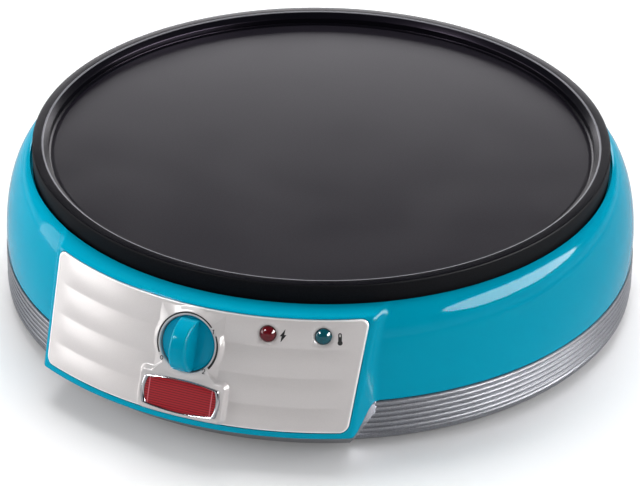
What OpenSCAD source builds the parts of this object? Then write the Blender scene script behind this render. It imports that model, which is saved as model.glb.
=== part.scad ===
// Electric crepe maker: a round non-stick hot plate in a domed casing with a sloping console.
// Each module is drawn about the plate's own axis, z = 0 on the table and the front at -Y, and
// on_axis() moves it back so that the origin is under the middle of the whole footprint.

/* [Body] */
// Height from the table to the top of the plate's rim
height = 88; // [84:1:94]
// Radius of the casing at its widest
casing_r = 170; // [168:0.5:172]
// Height of the joint between casing and ribbed band
band_top_z = 28.2; // [27:0.1:29]
// Wall thickness of the two mouldings
wall = 2.5; // [2:0.1:2.8]
// Clearance under the base, which is the feet's height
foot_h = 4.4; // [4:0.1:5]

/* [Hot plate] */
// Outside radius of the hot plate's rim
plate_r = 155; // [154:0.1:155.5]
// Width of the rim's flat top
rim_w = 5.7; // [4:0.1:6.5]
// Depth of the cooking surface below the rim
dish_depth = 6.3; // [5.5:0.1:7]
// Thickness of the cooking floor
plate_t = 4.5; // [3.5:0.1:5]
// Depth of the rim's skirt below the rim's top
skirt_h = 14; // [13:0.1:14.5]

/* [Console] */
// Radius of the console's sloping face at its upper edge
face_top_r = 166.9; // [166.5:0.1:167.3]
// Drop of the panel's upper edge below the rim
face_drop = 12.6; // [12.2:0.1:13]
// Lean of the console's face from the vertical, in degrees
lean = 19.3; // [19:0.1:19.6]
// Half width of the console at its lower front corners
console_half = 86.1; // [85.9:0.1:87]
// Height of the console's lower edge
console_low_z = 17; // [16.6:0.1:17.4]
// Angle that the console's two cheeks spread towards the back, in degrees
cheek_draft = 11.7; // [11:0.1:12.5]
// Angle that the cheeks spread towards the table, in degrees
side_draft = 2.5; // [2:0.1:2.8]

/* [Control panel] */
// Half width of the panel at its upper edge
panel_half = 85.6; // [85:0.1:85.8]
// Half width of the panel at its lower edge
panel_low_half = 83.6; // [83:0.1:83.8]
// Length of the panel down its slope
panel_h = 58; // [57.6:0.1:58.2]
// Radius of the panel's corners
panel_corner_r = 4; // [3:0.5:6]
// Number of scalloped bands
bands = 4; // [3:1:6]
// Height of a scallop's crown
band_crown = 0.5; // [0.2:0.1:0.8]

/* [Controls] */
// Distance of the knob's axis below the panel's upper edge
knob_s = 19.6; // [19.4:0.1:19.8]
// Radius of the knob's disc
knob_r = 14.3; // [13.5:0.1:14.4]
// Height of the knob's fin above its disc
grip_h = 15.3; // [12:0.1:16]
// Distance of the badge's centre below the panel's upper edge
badge_s = 47; // [46.8:0.1:47.2]
// Radius of a lamp lens
lens_r = 4.1; // [3.5:0.1:4.2]
// Distance of the lamps below the panel's upper edge
lamp_s = 8.5; // [8.2:0.1:8.8]
// Angle of the power lamp from the console's middle
power_lamp_at = 13.4; // [12.5:0.1:14]
// Angle of the ready lamp from the console's middle
ready_lamp_at = 22.8; // [21:0.1:23.5]

/* [Inside] */
// Radius of the heating element's ring
element_r = 100; // [90:1:105]
// Radius of the element's tube
element_tube_r = 3.25; // [3:0.05:3.5]
// Radius of the thermostat's spindle
spindle_r = 3; // [3:0.1:3]
// Radius of the circle that the plate's studs stand on
stud_circle_r = 118; // [114:1:122]
// Radius of the cord that the bush takes
cord_r = 3.6; // [3:0.1:4]
// Height of the cord bush's axis
bush_z = 14.6; // [14.4:0.1:14.8]

/* [Hidden] */
$fn = 96;
tiny = 0.01;

// Colours
char_black = "#2a2a2d";
turquoise = "#00a0c0";
silver = "#a9a9ad";
off_white = "#dcd8d6";
steel = "#b8babd";
zinc = "#c9c6b8";
rubber_black = "#1c1c1e";

// Heights
floor_z = height - dish_depth;          // cooking surface
under_z = floor_z - plate_t;            // plate's underside
skirt_z = height - skirt_h;             // lower edge of the plate's skirt
seat_z = height - 9.7;                  // upper edge of the casing
belt_z = 37;                            // widest level of the casing
tray_z = foot_h + wall;                 // inner floor of the base tray
reflector_z = under_z - 15.2;           // reflector's underside
element_z = under_z - 4.7;              // centre of the element's tube

// Casing
seat_gap = 1.2;                         // plate's rim to casing
dome_a = casing_r - plate_r;            // the dome is a quarter ellipse with these half axes
dome_b = seat_z - belt_z + 0.1;
ledge_z = skirt_z - 0.8;                // ring inside the casing, under the plate's skirt
ledge_t = 2.4;
ledge_r = plate_r - 8;
tongue_h = 6;                           // casing's edge that drops inside the tray
tongue_r = casing_r - 6.4;
dome_steps = 16;
post_circle_r = 154;
post_r = 5;
post_z = tray_z + 5.4;                  // lower face of the casing's screw posts
screw_angles = [0, 60, 120, 180, 240, 300];

// Ribbed band
band_r = casing_r + 0.4;                // crest of a rib
rib_pitch = 3.05;
rib_count = 6;
rib_depth = 1.1;
rib_steps = 6;
lip_z = foot_h + 2.2;

// Console
face_top_z = height - face_drop;
face_low_z = face_top_z - panel_h * cos(lean);
console_reach = face_top_r + (face_top_z - console_low_z - 2.4) * tan(lean);
cut_far_r = console_reach - 0.5;        // the joint between casing and chin is a soft step
cut_near_r = cut_far_r - 15.5;
cut_low_z = console_low_z + 0.6;
cut_parts = 8;
seat_t = 4.2;                           // casing's thickness behind the panel's seat
seat_depth = 2.3;
joint_gap = 0.3;
chin_foot_half = 79;
chin_flare = 31.5;                      // degrees that the chin's sides lean out
window_rim = 1.5;                       // width of the seat round the panel's window

// Panel
band_steps = 6;
face_steps = bands * band_steps - 1;    // the lowest band is one step short
band_h = panel_h * band_steps / face_steps;
panel_t = 2.1;
boss_h = 2.4;                           // bosses stand this far out of the face
boss_root = 1.9;
screw_s = panel_h - 14;                 // panel's two screws, below its upper edge
screw_at = 24;                          // and to each side, in degrees
knob_boss_r = 17.3;
badge_l = 43.2;
badge_w = 18;
badge_corner_x = 20.1;                  // half length of the badge at its corners
badge_end_r = 17.3;                     // radius of its bowed ends
badge_side_r = 123;                     // and of its bowed long sides
badge_frame_w = 2.6;
badge_frame_t = 2.4;

// Knob and spindle
disc_t = 3.4;
disc_top_h = 1.4;                       // the disc sits in its boss, with its top this far out
knob_base = disc_top_h - disc_t;
pocket_h = knob_base - 0.6;             // floor of the boss's pocket
pocket_r = knob_r + 0.45;
cup_h = pocket_h - 1.6;                 // rear of the cup behind the boss
cup_r = pocket_r + 1.6;
grip_w = 9.5;
grip_half = 13.9;                       // half length of the fin
grip_y = -0.6;                          // its middle is this far up from the knob's axis
grip_steps = 24;
hub_r = 5.2;
hub_depth = 3;
flat_x = 1.5;                           // the spindle's flat is this far from its axis
spindle_out = 9;                        // spindle's end above the panel's face
running_gap = 0.06;
bracket_h = 9.6;                        // bracket's rear face behind the panel's face
body_t = 17;
blade_l = 8;                            // thermostat's terminals
holder_h = 12;                          // lamp holder's rear end behind the panel's face
lead_l = 4;

// Footprint: the knob's fin reaches furthest forward, the cord bush's flange furthest back
bush_flange_t = 2;
grip_reach = max([for (i = [0:grip_steps]) let (y = -grip_half * cos(180 * i / grip_steps))
    grip_z(y) * cos(lean) - (y + grip_y) * sin(lean)]);
front_reach = face_top_r + knob_s * sin(lean) + disc_top_h * cos(lean) + grip_reach;
axis_y = (front_reach - band_r - bush_flange_t) / 2;

// ---- Places -----------------------------------------------------------------

module on_axis() translate([0, axis_y, 0]) children();

function face_r(z) = face_top_r + (face_top_z - z) * tan(lean);

// A place on the console's face: `at` degrees round from its middle, s below the panel's upper edge,
// h out of the face. Local +Z points out, +Y up the slope, +X to the right of someone facing it.
module on_face(at = 0, s = 0, h = 0)
    rotate([0, 0, at])
    translate([0, -face_top_r - s * sin(lean), face_top_z - s * cos(lean)])
    rotate([90 - lean, 0, 0])
    translate([0, 0, h])
    children();

// The same place as a point, x to the right and y up the slope from the face's middle line
function face_point(s, x, y, h) = [
    x,
    -face_top_r - (s - y) * sin(lean) - h * cos(lean),
    face_top_z - (s - y) * cos(lean) + h * sin(lean)
];

module ring_of(angles, radius)
    for (a = angles)
        rotate([0, 0, a])
        translate([radius, 0, 0])
        children();

// ---- Outlines ---------------------------------------------------------------

function dome_r(z, inset = 0) =
    plate_r + (dome_a - inset) * sqrt(max(0, 1 - pow((z - belt_z) / (dome_b - inset), 2)));

function dome_points(z0, z1, inset = 0) =
    [for (i = [0:dome_steps]) let (z = z1 + (z0 - z1) * pow(1 - i / dome_steps, 2)) [dome_r(z, inset), z]];

// One scallop is an arc that rises by band_crown between two creases
function face_points(depth) =
    [for (i = [0:face_steps])
        let (s = panel_h * i / face_steps,
             crown = band_crown * sin(180 * (i % band_steps) / band_steps))
        [face_top_r + s * sin(lean) + (crown - depth) * cos(lean),
         face_top_z - s * cos(lean) + (crown - depth) * sin(lean)]];

// One rib is an elliptic bead, so a sharp groove stays between two ribs
function rib_points(top) =
    [for (n = [0:rib_count - 1]) for (i = [0:rib_steps - 1])
        let (t = i / rib_steps)
        [band_r - rib_depth * (1 - sqrt(1 - pow(2 * t - 1, 2))), top - (n + t) * rib_pitch]];

corner_steps = 6;

// An arc round (x, z) from one angle to another
function corner(x, z, r, from, to) =
    [for (i = [0:corner_steps]) let (a = from + (to - from) * i / corner_steps) [x + r * cos(a), z + r * sin(a)]];

// A symmetrical trapezium with round corners
module rounded_trapezium(low_half, high_half, low, high, r) {
    slant = atan((high_half - low_half) / (high - low));
    right = concat(
        corner(low_half + r * tan(slant) - r / cos(slant), low + r, r, -90, -slant),
        corner(high_half - r * tan(slant) - r / cos(slant), high - r, r, -slant, 90)
    );
    polygon(concat(right, [for (i = [len(right) - 1:-1:0]) [-right[i][0], right[i][1]]]));
}

// Panel's elevation, seen from the front and carried straight through along Y
module panel_block(grow = 0)
    rotate([90, 0, 0])
    linear_extrude(height = 2 * casing_r)
    rounded_trapezium(panel_low_half + grow, panel_half + grow, face_low_z - grow, face_top_z + grow,
        panel_corner_r + grow);

// Everything on the inner side of the right-hand cheek
module cheek(inset)
    translate([console_half - inset, -sqrt(pow(console_reach, 2) - pow(console_half, 2)), console_low_z])
    rotate([0, -side_draft, -cheek_draft])
    translate([-3 * casing_r, -3 * casing_r, -3 * casing_r])
    cube([3 * casing_r, 6 * casing_r, 6 * casing_r]);

// The console's width, between its two drafted cheeks
module cheeks(inset = 0)
    intersection() {
        cheek(inset);
        mirror([1, 0, 0]) cheek(inset);
        translate([-casing_r, -2 * casing_r, 0]) cube([2 * casing_r, 2 * casing_r - 125, height]);
    }

// The joint's outline from its front to the band's top, moved in by `inset` and down by `drop`
function cut_points(inset = 0, drop = 0) =
    [for (i = [0:cut_parts])
        let (t = i / cut_parts, rise = t * t * (3 - 2 * t))
        [cut_far_r + (cut_near_r - cut_far_r) * t - inset, cut_low_z + (band_top_z - cut_low_z) * rise - drop]];

module console_solid()
    intersection() {
        rotate_extrude()
            polygon(concat([
                [ledge_r, band_top_z + 2], [ledge_r, ledge_z - 1], [plate_r + seat_gap, ledge_z],
                [plate_r + seat_gap, seat_z], [face_top_r - 1.8, face_top_z + 1.3],
                [face_top_r - 0.6, face_top_z + 0.9], [face_top_r, face_top_z + 0.2],
                [console_reach, console_low_z + 2.4], [console_reach - 0.1, console_low_z + 1.2]
            ], cut_points()));
        cheeks();
    }

module console_hollow()
    intersection() {
        rotate_extrude()
            polygon([
                [ledge_r - 1, 0], [ledge_r - 1, ledge_z - ledge_t], [plate_r + 4.6, ledge_z - ledge_t],
                [plate_r + 4.6, face_top_z - 2.2], [face_r(face_top_z - 2.2) - seat_t, face_top_z - 2.2],
                [face_r(console_low_z + 6) - seat_t, console_low_z + 6],
                [face_r(console_low_z) - seat_t, console_low_z - 2], [face_top_r, 0]
            ]);
        cheeks(wall);
    }

// ---- Hot plate --------------------------------------------------------------

module cooking_plate() color(char_black) on_axis() {
    wall_top_r = plate_r - rim_w;
    wall_low_r = wall_top_r - 3;
    difference() {
        union() {
            rotate_extrude()
                polygon([
                    [0, floor_z], [wall_low_r - 3, floor_z], [wall_low_r - 1.6, floor_z - 0.5],
                    [wall_low_r - 0.5, floor_z - 0.3], [wall_low_r, floor_z + 0.8],
                    [wall_low_r, height - 3], [wall_top_r, height], [plate_r - 0.8, height],
                    [plate_r - 0.2, height - 0.2], [plate_r, height - 0.8], [plate_r, skirt_z],
                    [plate_r - 4, skirt_z], [plate_r - 4, under_z], [0, under_z]
                ]);
            // rib that holds the element
            rotate_extrude()
                translate([element_r - 6, element_z])
                square([12, under_z - element_z + tiny]);
            ring_of([30, 150, 270], stud_circle_r)
                translate([0, 0, reflector_z + 0.82])
                cylinder(h = under_z - reflector_z, r = 7);
            // bosses of the bulb clip, the fuse clip and the earth tab
            for (p = [[0, -38], [20, 40], [-30, 42]])
                translate([p[0], p[1], under_z - 4])
                cylinder(h = 4 + tiny, r = 5);
        }
        rotate_extrude()
            translate([element_r, element_z])
            circle(element_tube_r + 0.1);
        ring_of([30, 150, 270], stud_circle_r)
            translate([0, 0, reflector_z - 1])
            cylinder(h = 13, r = 2.5);
        for (p = [[0, -38], [20, 40], [-30, 42]])
            translate([p[0], p[1], under_z - 5])
            cylinder(h = 6, r = 1.65);
    }
}

cold_end_angles = [205, 235];
bead_z = reflector_z - 4;

module heating_element() color("#6d6a66") on_axis() {
    rotate([0, 0, cold_end_angles[1]])
        rotate_extrude(angle = 360 - (cold_end_angles[1] - cold_end_angles[0]))
        translate([element_r, element_z])
        circle(element_tube_r);
    ring_of(cold_end_angles, element_r) {
        translate([0, 0, bead_z]) cylinder(h = element_z - bead_z, r = element_tube_r - 0.02);
        translate([0, 0, element_z]) sphere(element_tube_r + 0.02);
    }
}

module element_beads() color("#efeae0") on_axis()
    ring_of(cold_end_angles, element_r)
    translate([0, 0, bead_z - 6])
    difference() {
        cylinder(h = 5.95, r = 4.2);
        translate([0, 0, -1]) cylinder(h = 8, r = 1.7);
    }

module element_pins() color(steel) on_axis()
    ring_of(cold_end_angles, element_r)
    translate([0, 0, bead_z - 16]) {
        cylinder(h = 15.9, r = 1.5);
        translate([-3.2, -0.4, 0]) cube([6.4, 0.8, 6]);
    }

module heat_reflector() color("#cfd0d2") on_axis()
    difference() {
        rotate_extrude()
            polygon([
                [0, reflector_z], [136, reflector_z], [139, reflector_z + 9], [138.2, reflector_z + 9],
                [135.4, reflector_z + 0.8], [0, reflector_z + 0.8]
            ]);
        ring_of(cold_end_angles, element_r)
            translate([0, 0, reflector_z - 1]) cylinder(h = 3, r = 6);
        ring_of([30, 150, 270], stud_circle_r)
            translate([0, 0, reflector_z - 1]) cylinder(h = 3, r = 2.8);
        for (p = [[51.5, -63], [15, 64], [42, 61], [-46, 62]])
            translate([p[0], p[1], reflector_z - 1]) cylinder(h = 3, r = 5);
    }

web_z = 46;                             // underside of the web in a stud post
web_t = 4;

module plate_spacers() color("#6b3d24") on_axis()
    ring_of([30, 150, 270], stud_circle_r)
    translate([0, 0, web_z + web_t + 0.02])
    difference() {
        cylinder(h = reflector_z - web_z - web_t - 0.04, r = 7);
        translate([0, 0, -1]) cylinder(h = 20, r = 2.8);
    }

module plate_studs() color(steel) on_axis()
    ring_of([30, 150, 270], stud_circle_r)
    translate([0, 0, web_z - 8])
    cylinder(h = reflector_z + 11 - web_z + 8, r = 2.45);

module plate_washers() color(steel) on_axis()
    ring_of([30, 150, 270], stud_circle_r)
    translate([0, 0, web_z - 1.02])
    difference() {
        cylinder(h = 1, r = 5);
        translate([0, 0, -1]) cylinder(h = 3, r = 2.65);
    }

module plate_nuts() color(zinc) on_axis()
    ring_of([30, 150, 270], stud_circle_r)
    translate([0, 0, web_z - 5.04])
    difference() {
        cylinder(h = 4, r = 4.62, $fn = 6);
        translate([0, 0, -1]) cylinder(h = 6, r = 2.47);
    }

// ---- Casing -----------------------------------------------------------------

module dome_shell()
    rotate_extrude()
        polygon(concat(
            dome_points(band_top_z, seat_z - 0.3),
            [[plate_r + seat_gap + 0.6, seat_z], [plate_r + seat_gap, seat_z],
             [plate_r + seat_gap, ledge_z], [ledge_r, ledge_z], [ledge_r, ledge_z - ledge_t]],
            [for (i = [0:dome_steps])
                let (z = ledge_z - ledge_t + (band_top_z - ledge_z + ledge_t) * i / dome_steps)
                [dome_r(z, wall), z]],
            [[tongue_r - 2, band_top_z], [tongue_r - 2, band_top_z - tongue_h],
             [tongue_r, band_top_z - tongue_h], [tongue_r, band_top_z]]
        ));

module upper_casing() color(turquoise) on_axis()
    difference() {
        union() {
            difference() {
                union() {
                    dome_shell();
                    console_solid();
                }
                console_hollow();
            }
            ring_of(screw_angles, post_circle_r)
                translate([0, 0, post_z])
                cylinder(h = ledge_z - ledge_t - post_z + tiny, r = post_r);
        }
        // seat and window of the control panel
        intersection() {
            rotate_extrude()
                polygon([
                    [face_r(face_top_z + 3) - seat_depth, face_top_z + 3], [casing_r + 30, face_top_z + 3],
                    [casing_r + 30, console_low_z], [face_r(console_low_z) - seat_depth, console_low_z]
                ]);
            panel_block(0.25);
        }
        intersection() {
            panel_block(-window_rim);
            rotate_extrude()
                translate([plate_r + 4.6, 0]) square([40, height]);
        }
        ring_of(screw_angles, post_circle_r)
            translate([0, 0, post_z - 1]) cylinder(h = 17, r = 1.7);
    }

// ---- Base -------------------------------------------------------------------

module chin(inset = 0)
    intersection() {
        rotate_extrude()
            polygon(concat(
                [[tongue_r, foot_h + inset], [casing_r + 0.6 - inset, foot_h + inset]],
                cut_points(inset, joint_gap + 0.7 * inset),
                [[tongue_r, band_top_z - joint_gap]]
            ));
        cheeks(0.2 + inset);
        rotate([90, 0, 0])
            linear_extrude(height = 2 * casing_r)
            polygon([
                [-chin_foot_half + inset, foot_h], [chin_foot_half - inset, foot_h],
                [chin_foot_half - inset + (band_top_z + 6) * tan(chin_flare), band_top_z + 6 + foot_h],
                [-chin_foot_half + inset - (band_top_z + 6) * tan(chin_flare), band_top_z + 6 + foot_h]
            ]);
    }

module tray_shell()
    rotate_extrude()
        polygon(concat(
            [[tongue_r + 0.6, band_top_z - joint_gap], [band_r - 0.5, band_top_z - joint_gap]],
            rib_points(band_top_z - 0.5),
            [[band_r - rib_depth, band_top_z - 0.5 - rib_count * rib_pitch],
             [band_r - 0.3, lip_z + 2.2], [band_r - 0.5, lip_z], [band_r - 2, foot_h + 0.5],
             [band_r - 4, foot_h], [0, foot_h], [0, tray_z], [tongue_r + 0.6, tray_z]]
        ));

foot_circle_r = 140;
foot_angles = [45, 135, 225, 315];
vent_angles = [for (a = [0:15:345]) a];

module base_tray() color(silver) on_axis()
    difference() {
        union() {
            difference() {
                union() {
                    tray_shell();
                    chin();
                }
                intersection() {
                    chin(wall);
                    rotate_extrude()
                        translate([tongue_r - 5, tray_z]) square([40, height]);
                }
            }
            ring_of([30, 150, 270], stud_circle_r)
                translate([0, 0, foot_h]) cylinder(h = web_z + web_t - foot_h, r = 8.5);
            ring_of(screw_angles, post_circle_r)
                translate([0, 0, foot_h]) cylinder(h = post_z - foot_h - 0.1, r = post_r);
            // posts of the cord clamp and of the terminal block
            for (x = [-11, 11])
                translate([x, 140, foot_h]) cylinder(h = 9.6, r = 3.6);
            translate([0, 112, foot_h]) cylinder(h = 6, r = 4);
        }
        ring_of([30, 150, 270], stud_circle_r) {
            translate([0, 0, -1]) cylinder(h = web_z + 1, r = 6);
            translate([0, 0, web_z - 1]) cylinder(h = web_t + 2, r = 2.8);
        }
        ring_of(screw_angles, post_circle_r) {
            translate([0, 0, -1]) cylinder(h = foot_h + 4, r = 3.9);
            translate([0, 0, foot_h]) cylinder(h = post_z, r = 2.1);
        }
        ring_of(foot_angles, foot_circle_r)
            translate([0, 0, foot_h - 1]) cylinder(h = wall + 2, r = 3);
        // vents in the floor
        ring_of(vent_angles, 76)
            translate([-12, -1.5, foot_h - 1]) cube([24, 3, wall + 2]);
        for (x = [-11, 11])
            translate([x, 140, foot_h + 3]) cylinder(h = 8, r = 1.25);
        translate([0, 112, foot_h + 1.5]) cylinder(h = 6, r = 1.25);
        translate([0, tongue_r - 4, bush_z]) rotate([-90, 0, 0]) cylinder(h = 20, r = 7);
    }

module rubber_feet() color(rubber_black) on_axis()
    ring_of(foot_angles, foot_circle_r)
    rotate_extrude()
    polygon([
        [0, 0], [8.4, 0], [9, 0.6], [9, foot_h - 0.05], [2.9, foot_h - 0.05], [2.9, tray_z + 0.1],
        [4, tray_z + 0.1], [2.2, tray_z + 3], [0, tray_z + 3]
    ]);

module base_screws() color(zinc) on_axis()
    ring_of(screw_angles, post_circle_r) {
        translate([0, 0, foot_h + 0.2]) cylinder(h = 2.6, r = 3.6);
        translate([0, 0, foot_h + 1]) cylinder(h = 22, r = 1.65);
    }

// ---- Control panel ----------------------------------------------------------

module badge_outline(grow = 0)
    intersection() {
        union() {
            square([2 * (badge_corner_x + grow), badge_w + 2 * grow], center = true);
            for (side = [-1, 1])
                translate([side * (badge_l / 2 - badge_end_r), 0]) circle(badge_end_r + grow);
        }
        translate([0, badge_w / 2 - badge_side_r]) circle(badge_side_r + grow);
        translate([0, badge_side_r - badge_w / 2]) circle(badge_side_r + grow);
    }

post_x = 24;

module control_panel() color(off_white) on_axis()
    difference() {
        union() {
            intersection() {
                rotate_extrude() polygon(concat(face_points(0), [for (i = [1:-1:0])
                    [face_top_r + i * panel_h * sin(lean) - panel_t * cos(lean),
                     face_top_z - i * panel_h * cos(lean) - panel_t * sin(lean)]]));
                panel_block();
            }
            on_face(0, knob_s, 0)
                rotate_extrude()
                polygon([
                    [0, cup_h], [cup_r, cup_h], [cup_r, -boss_root], [knob_boss_r + 0.9, -boss_root],
                    [knob_boss_r + 0.6, 0.4], [knob_boss_r, boss_h - 0.5], [knob_boss_r - 0.6, boss_h],
                    [0, boss_h]
                ]);
            intersection() {
                on_face(0, badge_s, -boss_root)
                    linear_extrude(height = boss_root + boss_h)
                    badge_outline(1.6);
                panel_block();
            }
            for (x = [-post_x, post_x])
                on_face(0, knob_s, -8) translate([x, 0, 0]) cylinder(h = 5.4, r = 3.4);
            for (a = [-screw_at, screw_at])
                on_face(a, screw_s, -6) cylinder(h = 5, r = 3);
        }
        on_face(0, knob_s, pocket_h) cylinder(h = 10, r = pocket_r);
        on_face(0, knob_s, cup_h - 1) cylinder(h = 10, r = hub_r + 0.6);
        on_face(0, badge_s, boss_h - 1.2) linear_extrude(height = 3) badge_outline(0.1);
        for (a = [power_lamp_at, ready_lamp_at])
            on_face(a, lamp_s, -5) {
                cylinder(h = 10, r = lens_r + 0.15);
                translate([0, 0, 4.2]) cylinder(h = 1.6, r1 = lens_r + 0.15, r2 = lens_r + 2.4);
            }
        for (x = [-post_x, post_x])
            on_face(0, knob_s, -9) translate([x, 0, 0]) cylinder(h = 7, r = 1.25);
        for (a = [-screw_at, screw_at])
            on_face(a, screw_s, -7) cylinder(h = 5, r = 1.25);
    }

module panel_screws() color(zinc) on_axis()
    for (a = [-screw_at, screw_at])
        on_face(a, screw_s, -9.2) {
            cylinder(h = 7, r = 1.2);
            cylinder(h = 3.1, r = 2.8);
        }

module badge_frame() color("#c4c4c8") on_axis()
    on_face(0, badge_s, boss_h - 1.2 + 0.02)
    difference() {
        linear_extrude(height = badge_frame_t) badge_outline();
        translate([0, 0, 0.8]) linear_extrude(height = badge_frame_t) badge_outline(-badge_frame_w + 1.2);
    }

module badge_insert() color("#b0131e") on_axis()
    on_face(0, badge_s, boss_h - 0.36)
    linear_extrude(height = 1.3) badge_outline(-badge_frame_w + 1.1);

module lens(at)
    on_face(at, lamp_s, 0) {
        translate([0, 0, -4.4]) cylinder(h = 1.6, r = lens_r + 0.45);
        translate([0, 0, -3]) cylinder(h = 3.2, r = lens_r);
        intersection() {
            translate([0, 0, -3.4]) sphere(5.6);
            translate([0, 0, -3]) cylinder(h = 8, r = lens_r);
        }
    }

module power_lamp_lens() color("#8e101c") on_axis() lens(power_lamp_at);
module ready_lamp_lens() color("#0b5560") on_axis() lens(ready_lamp_at);

module lamp_holders() color("#e8e6e0") on_axis()
    for (a = [power_lamp_at, ready_lamp_at])
        on_face(a, lamp_s, -holder_h) {
            cylinder(h = holder_h - 4.45, r = 3.6);
            for (x = [-1.6, 1.6])
                translate([x, 0, -lead_l]) cylinder(h = lead_l + tiny, r = 0.5);
        }

// ---- Knob and thermostat ----------------------------------------------------

module flatted(r, h, flat)
    difference() {
        cylinder(h = h, r = r);
        translate([flat, -r - 1, -1]) cube([2 * r, 2 * r + 2, h + 2]);
    }

// Height of the grip's back above the disc, at a distance y from its middle
function grip_z(y) = grip_h * sqrt(max(0, 1 - pow(y / grip_half, 2)));

// The grip is a fin across the disc, a half ellipse seen from its side, with soft upper edges
module grip()
    intersection() {
        translate([-grip_w / 2, grip_y, disc_t - tiny])
            rotate([90, 0, 90])
            linear_extrude(height = grip_w)
            polygon([for (i = [0:grip_steps]) let (y = -grip_half * cos(180 * i / grip_steps)) [y, grip_z(y)]]);
        translate([0, 2 * knob_r, 0])
            rotate([90, 0, 0])
            linear_extrude(height = 4 * knob_r)
            polygon([
                [-grip_w / 2, 0], [grip_w / 2, 0], [grip_w / 2 - 0.2, disc_t + grip_h - 2.4],
                [grip_w / 2 - 0.8, disc_t + grip_h - 0.9], [grip_w / 2 - 2.2, disc_t + grip_h],
                [2.2 - grip_w / 2, disc_t + grip_h], [0.8 - grip_w / 2, disc_t + grip_h - 0.9],
                [0.2 - grip_w / 2, disc_t + grip_h - 2.4]
            ]);
        cylinder(h = disc_t + grip_h + 1, r = knob_r - 0.05);
    }

module knob() color(turquoise) on_axis()
    on_face(0, knob_s, knob_base)
    difference() {
        union() {
            rotate_extrude()
                polygon([
                    [0, 0], [knob_r - 0.3, 0], [knob_r, 0.4], [knob_r, disc_t - 1.2],
                    [knob_r - 0.4, disc_t - 0.4], [knob_r - 1.4, disc_t], [0, disc_t]
                ]);
            grip();
            translate([0, 0, -hub_depth]) cylinder(h = hub_depth + 1, r = hub_r);
        }
        translate([0, 0, -hub_depth - 1])
            flatted(spindle_r + 0.05, hub_depth + 1.5 + spindle_out - knob_base, flat_x + 0.45);
    }

module knob_spring() color(steel) on_axis()
    on_face(0, knob_s, knob_base - hub_depth + 0.2)
    translate([flat_x + 0.03, -1.8, 0])
    cube([0.36, 3.6, 9]);

module thermostat_spindle() color("#d6d3c8") on_axis()
    on_face(0, knob_s, -bracket_h - 6) {
        cylinder(h = bracket_h + 6 + knob_base - hub_depth - 0.1, r = spindle_r);
        flatted(spindle_r, bracket_h + 6 + spindle_out, flat_x);
    }

module thermostat_body() color("#3a3a3d") on_axis()
    on_face(0, knob_s, -bracket_h - 0.02)
    difference() {
        union() {
            translate([-15, -13, -body_t]) cube([30, 26, body_t]);
            cylinder(h = 4.2, r = 5);
        }
        translate([0, 0, -6.2]) cylinder(h = 12, r = spindle_r + running_gap);
        for (x = [-11.5, 11.5])
            translate([x, 0, -5]) cylinder(h = 6, r = 1.5);
    }

module thermostat_terminals() color("#c9a35a") on_axis()
    on_face(0, knob_s, -bracket_h - body_t - blade_l)
    for (x = [-8, 8])
        translate([x - 3.15, -8, 0]) cube([6.3, 0.8, blade_l - 0.05]);

module thermostat_bracket() color(steel) on_axis()
    on_face(0, knob_s, -bracket_h)
    difference() {
        translate([-post_x - 5, -7, 0]) cube([2 * post_x + 10, 14, 1.5]);
        translate([0, 0, -1]) cylinder(h = 4, r = 5.1);
        for (x = [-post_x, post_x, -11.5, 11.5])
            translate([x, 0, -1]) cylinder(h = 4, r = 1.7);
    }

module thermostat_screws() color(zinc) on_axis()
    on_face(0, knob_s, -bracket_h)
    for (x = [-11.5, 11.5])
        translate([x, 0, 0]) {
            translate([0, 0, -4.5]) cylinder(h = 7, r = 1.45);
            translate([0, 0, 1.52]) cylinder(h = 1.8, r = 2.8);
        }

module bracket_screws() color(zinc) on_axis()
    on_face(0, knob_s, -bracket_h)
    for (x = [-post_x, post_x])
        translate([x, 0, 0]) {
            translate([0, 0, -1.5]) cylinder(h = 8, r = 1.2);
            translate([0, 0, -1.82]) cylinder(h = 1.8, r = 2.8);
        }

// ---- Sensor and fuse --------------------------------------------------------

bulb_r = 3;
bulb_y = -50;
bulb_z = under_z - bulb_r - 0.05;

module sensing_bulb() color("#b5713f") on_axis()
    translate([-35, bulb_y, bulb_z])
    rotate([0, 90, 0]) {
        cylinder(h = 70, r = bulb_r);
        translate([0, 0, 69]) cylinder(h = 7, r = 1.2);
    }

module bulb_clip() color(steel) on_axis()
    difference() {
        union() {
            translate([-6, bulb_y, bulb_z]) rotate([0, 90, 0]) cylinder(h = 12, r = bulb_r + 0.9);
            translate([-6, bulb_y, under_z - 4.85]) cube([12, 17, 0.8]);
        }
        translate([-7, bulb_y, bulb_z]) rotate([0, 90, 0]) cylinder(h = 14, r = bulb_r + 0.1);
        translate([-7, bulb_y - 6, bulb_z + 1]) cube([14, 20, 4]);
        translate([0, -38, under_z - 6]) cylinder(h = 3, r = 1.7);
    }

module bulb_clip_screw() color(zinc) on_axis()
    translate([0, -38, under_z - 6.7]) {
        cylinder(h = 1.8, r = 3);
        cylinder(h = 6, r = 1.6);
    }

fuse_z = under_z - 6.4;

module thermal_fuse() color("#d9d6cc") on_axis()
    translate([14, 52, fuse_z])
    rotate([0, 90, 0]) {
        cylinder(h = 12, r = 2.1);
        translate([0, 0, -5]) cylinder(h = 22, r = 0.5);
    }

module fuse_clip() color(steel) on_axis()
    difference() {
        union() {
            translate([17, 52, fuse_z]) rotate([0, 90, 0]) cylinder(h = 6, r = 3);
            translate([15, 34, under_z - 4.85]) cube([10, 17, 0.8]);
        }
        translate([14, 52, fuse_z]) rotate([0, 90, 0]) cylinder(h = 12, r = 2.15);
        translate([20, 40, under_z - 6]) cylinder(h = 3, r = 1.7);
    }

// ---- Cord entry and terminals -----------------------------------------------

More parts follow.
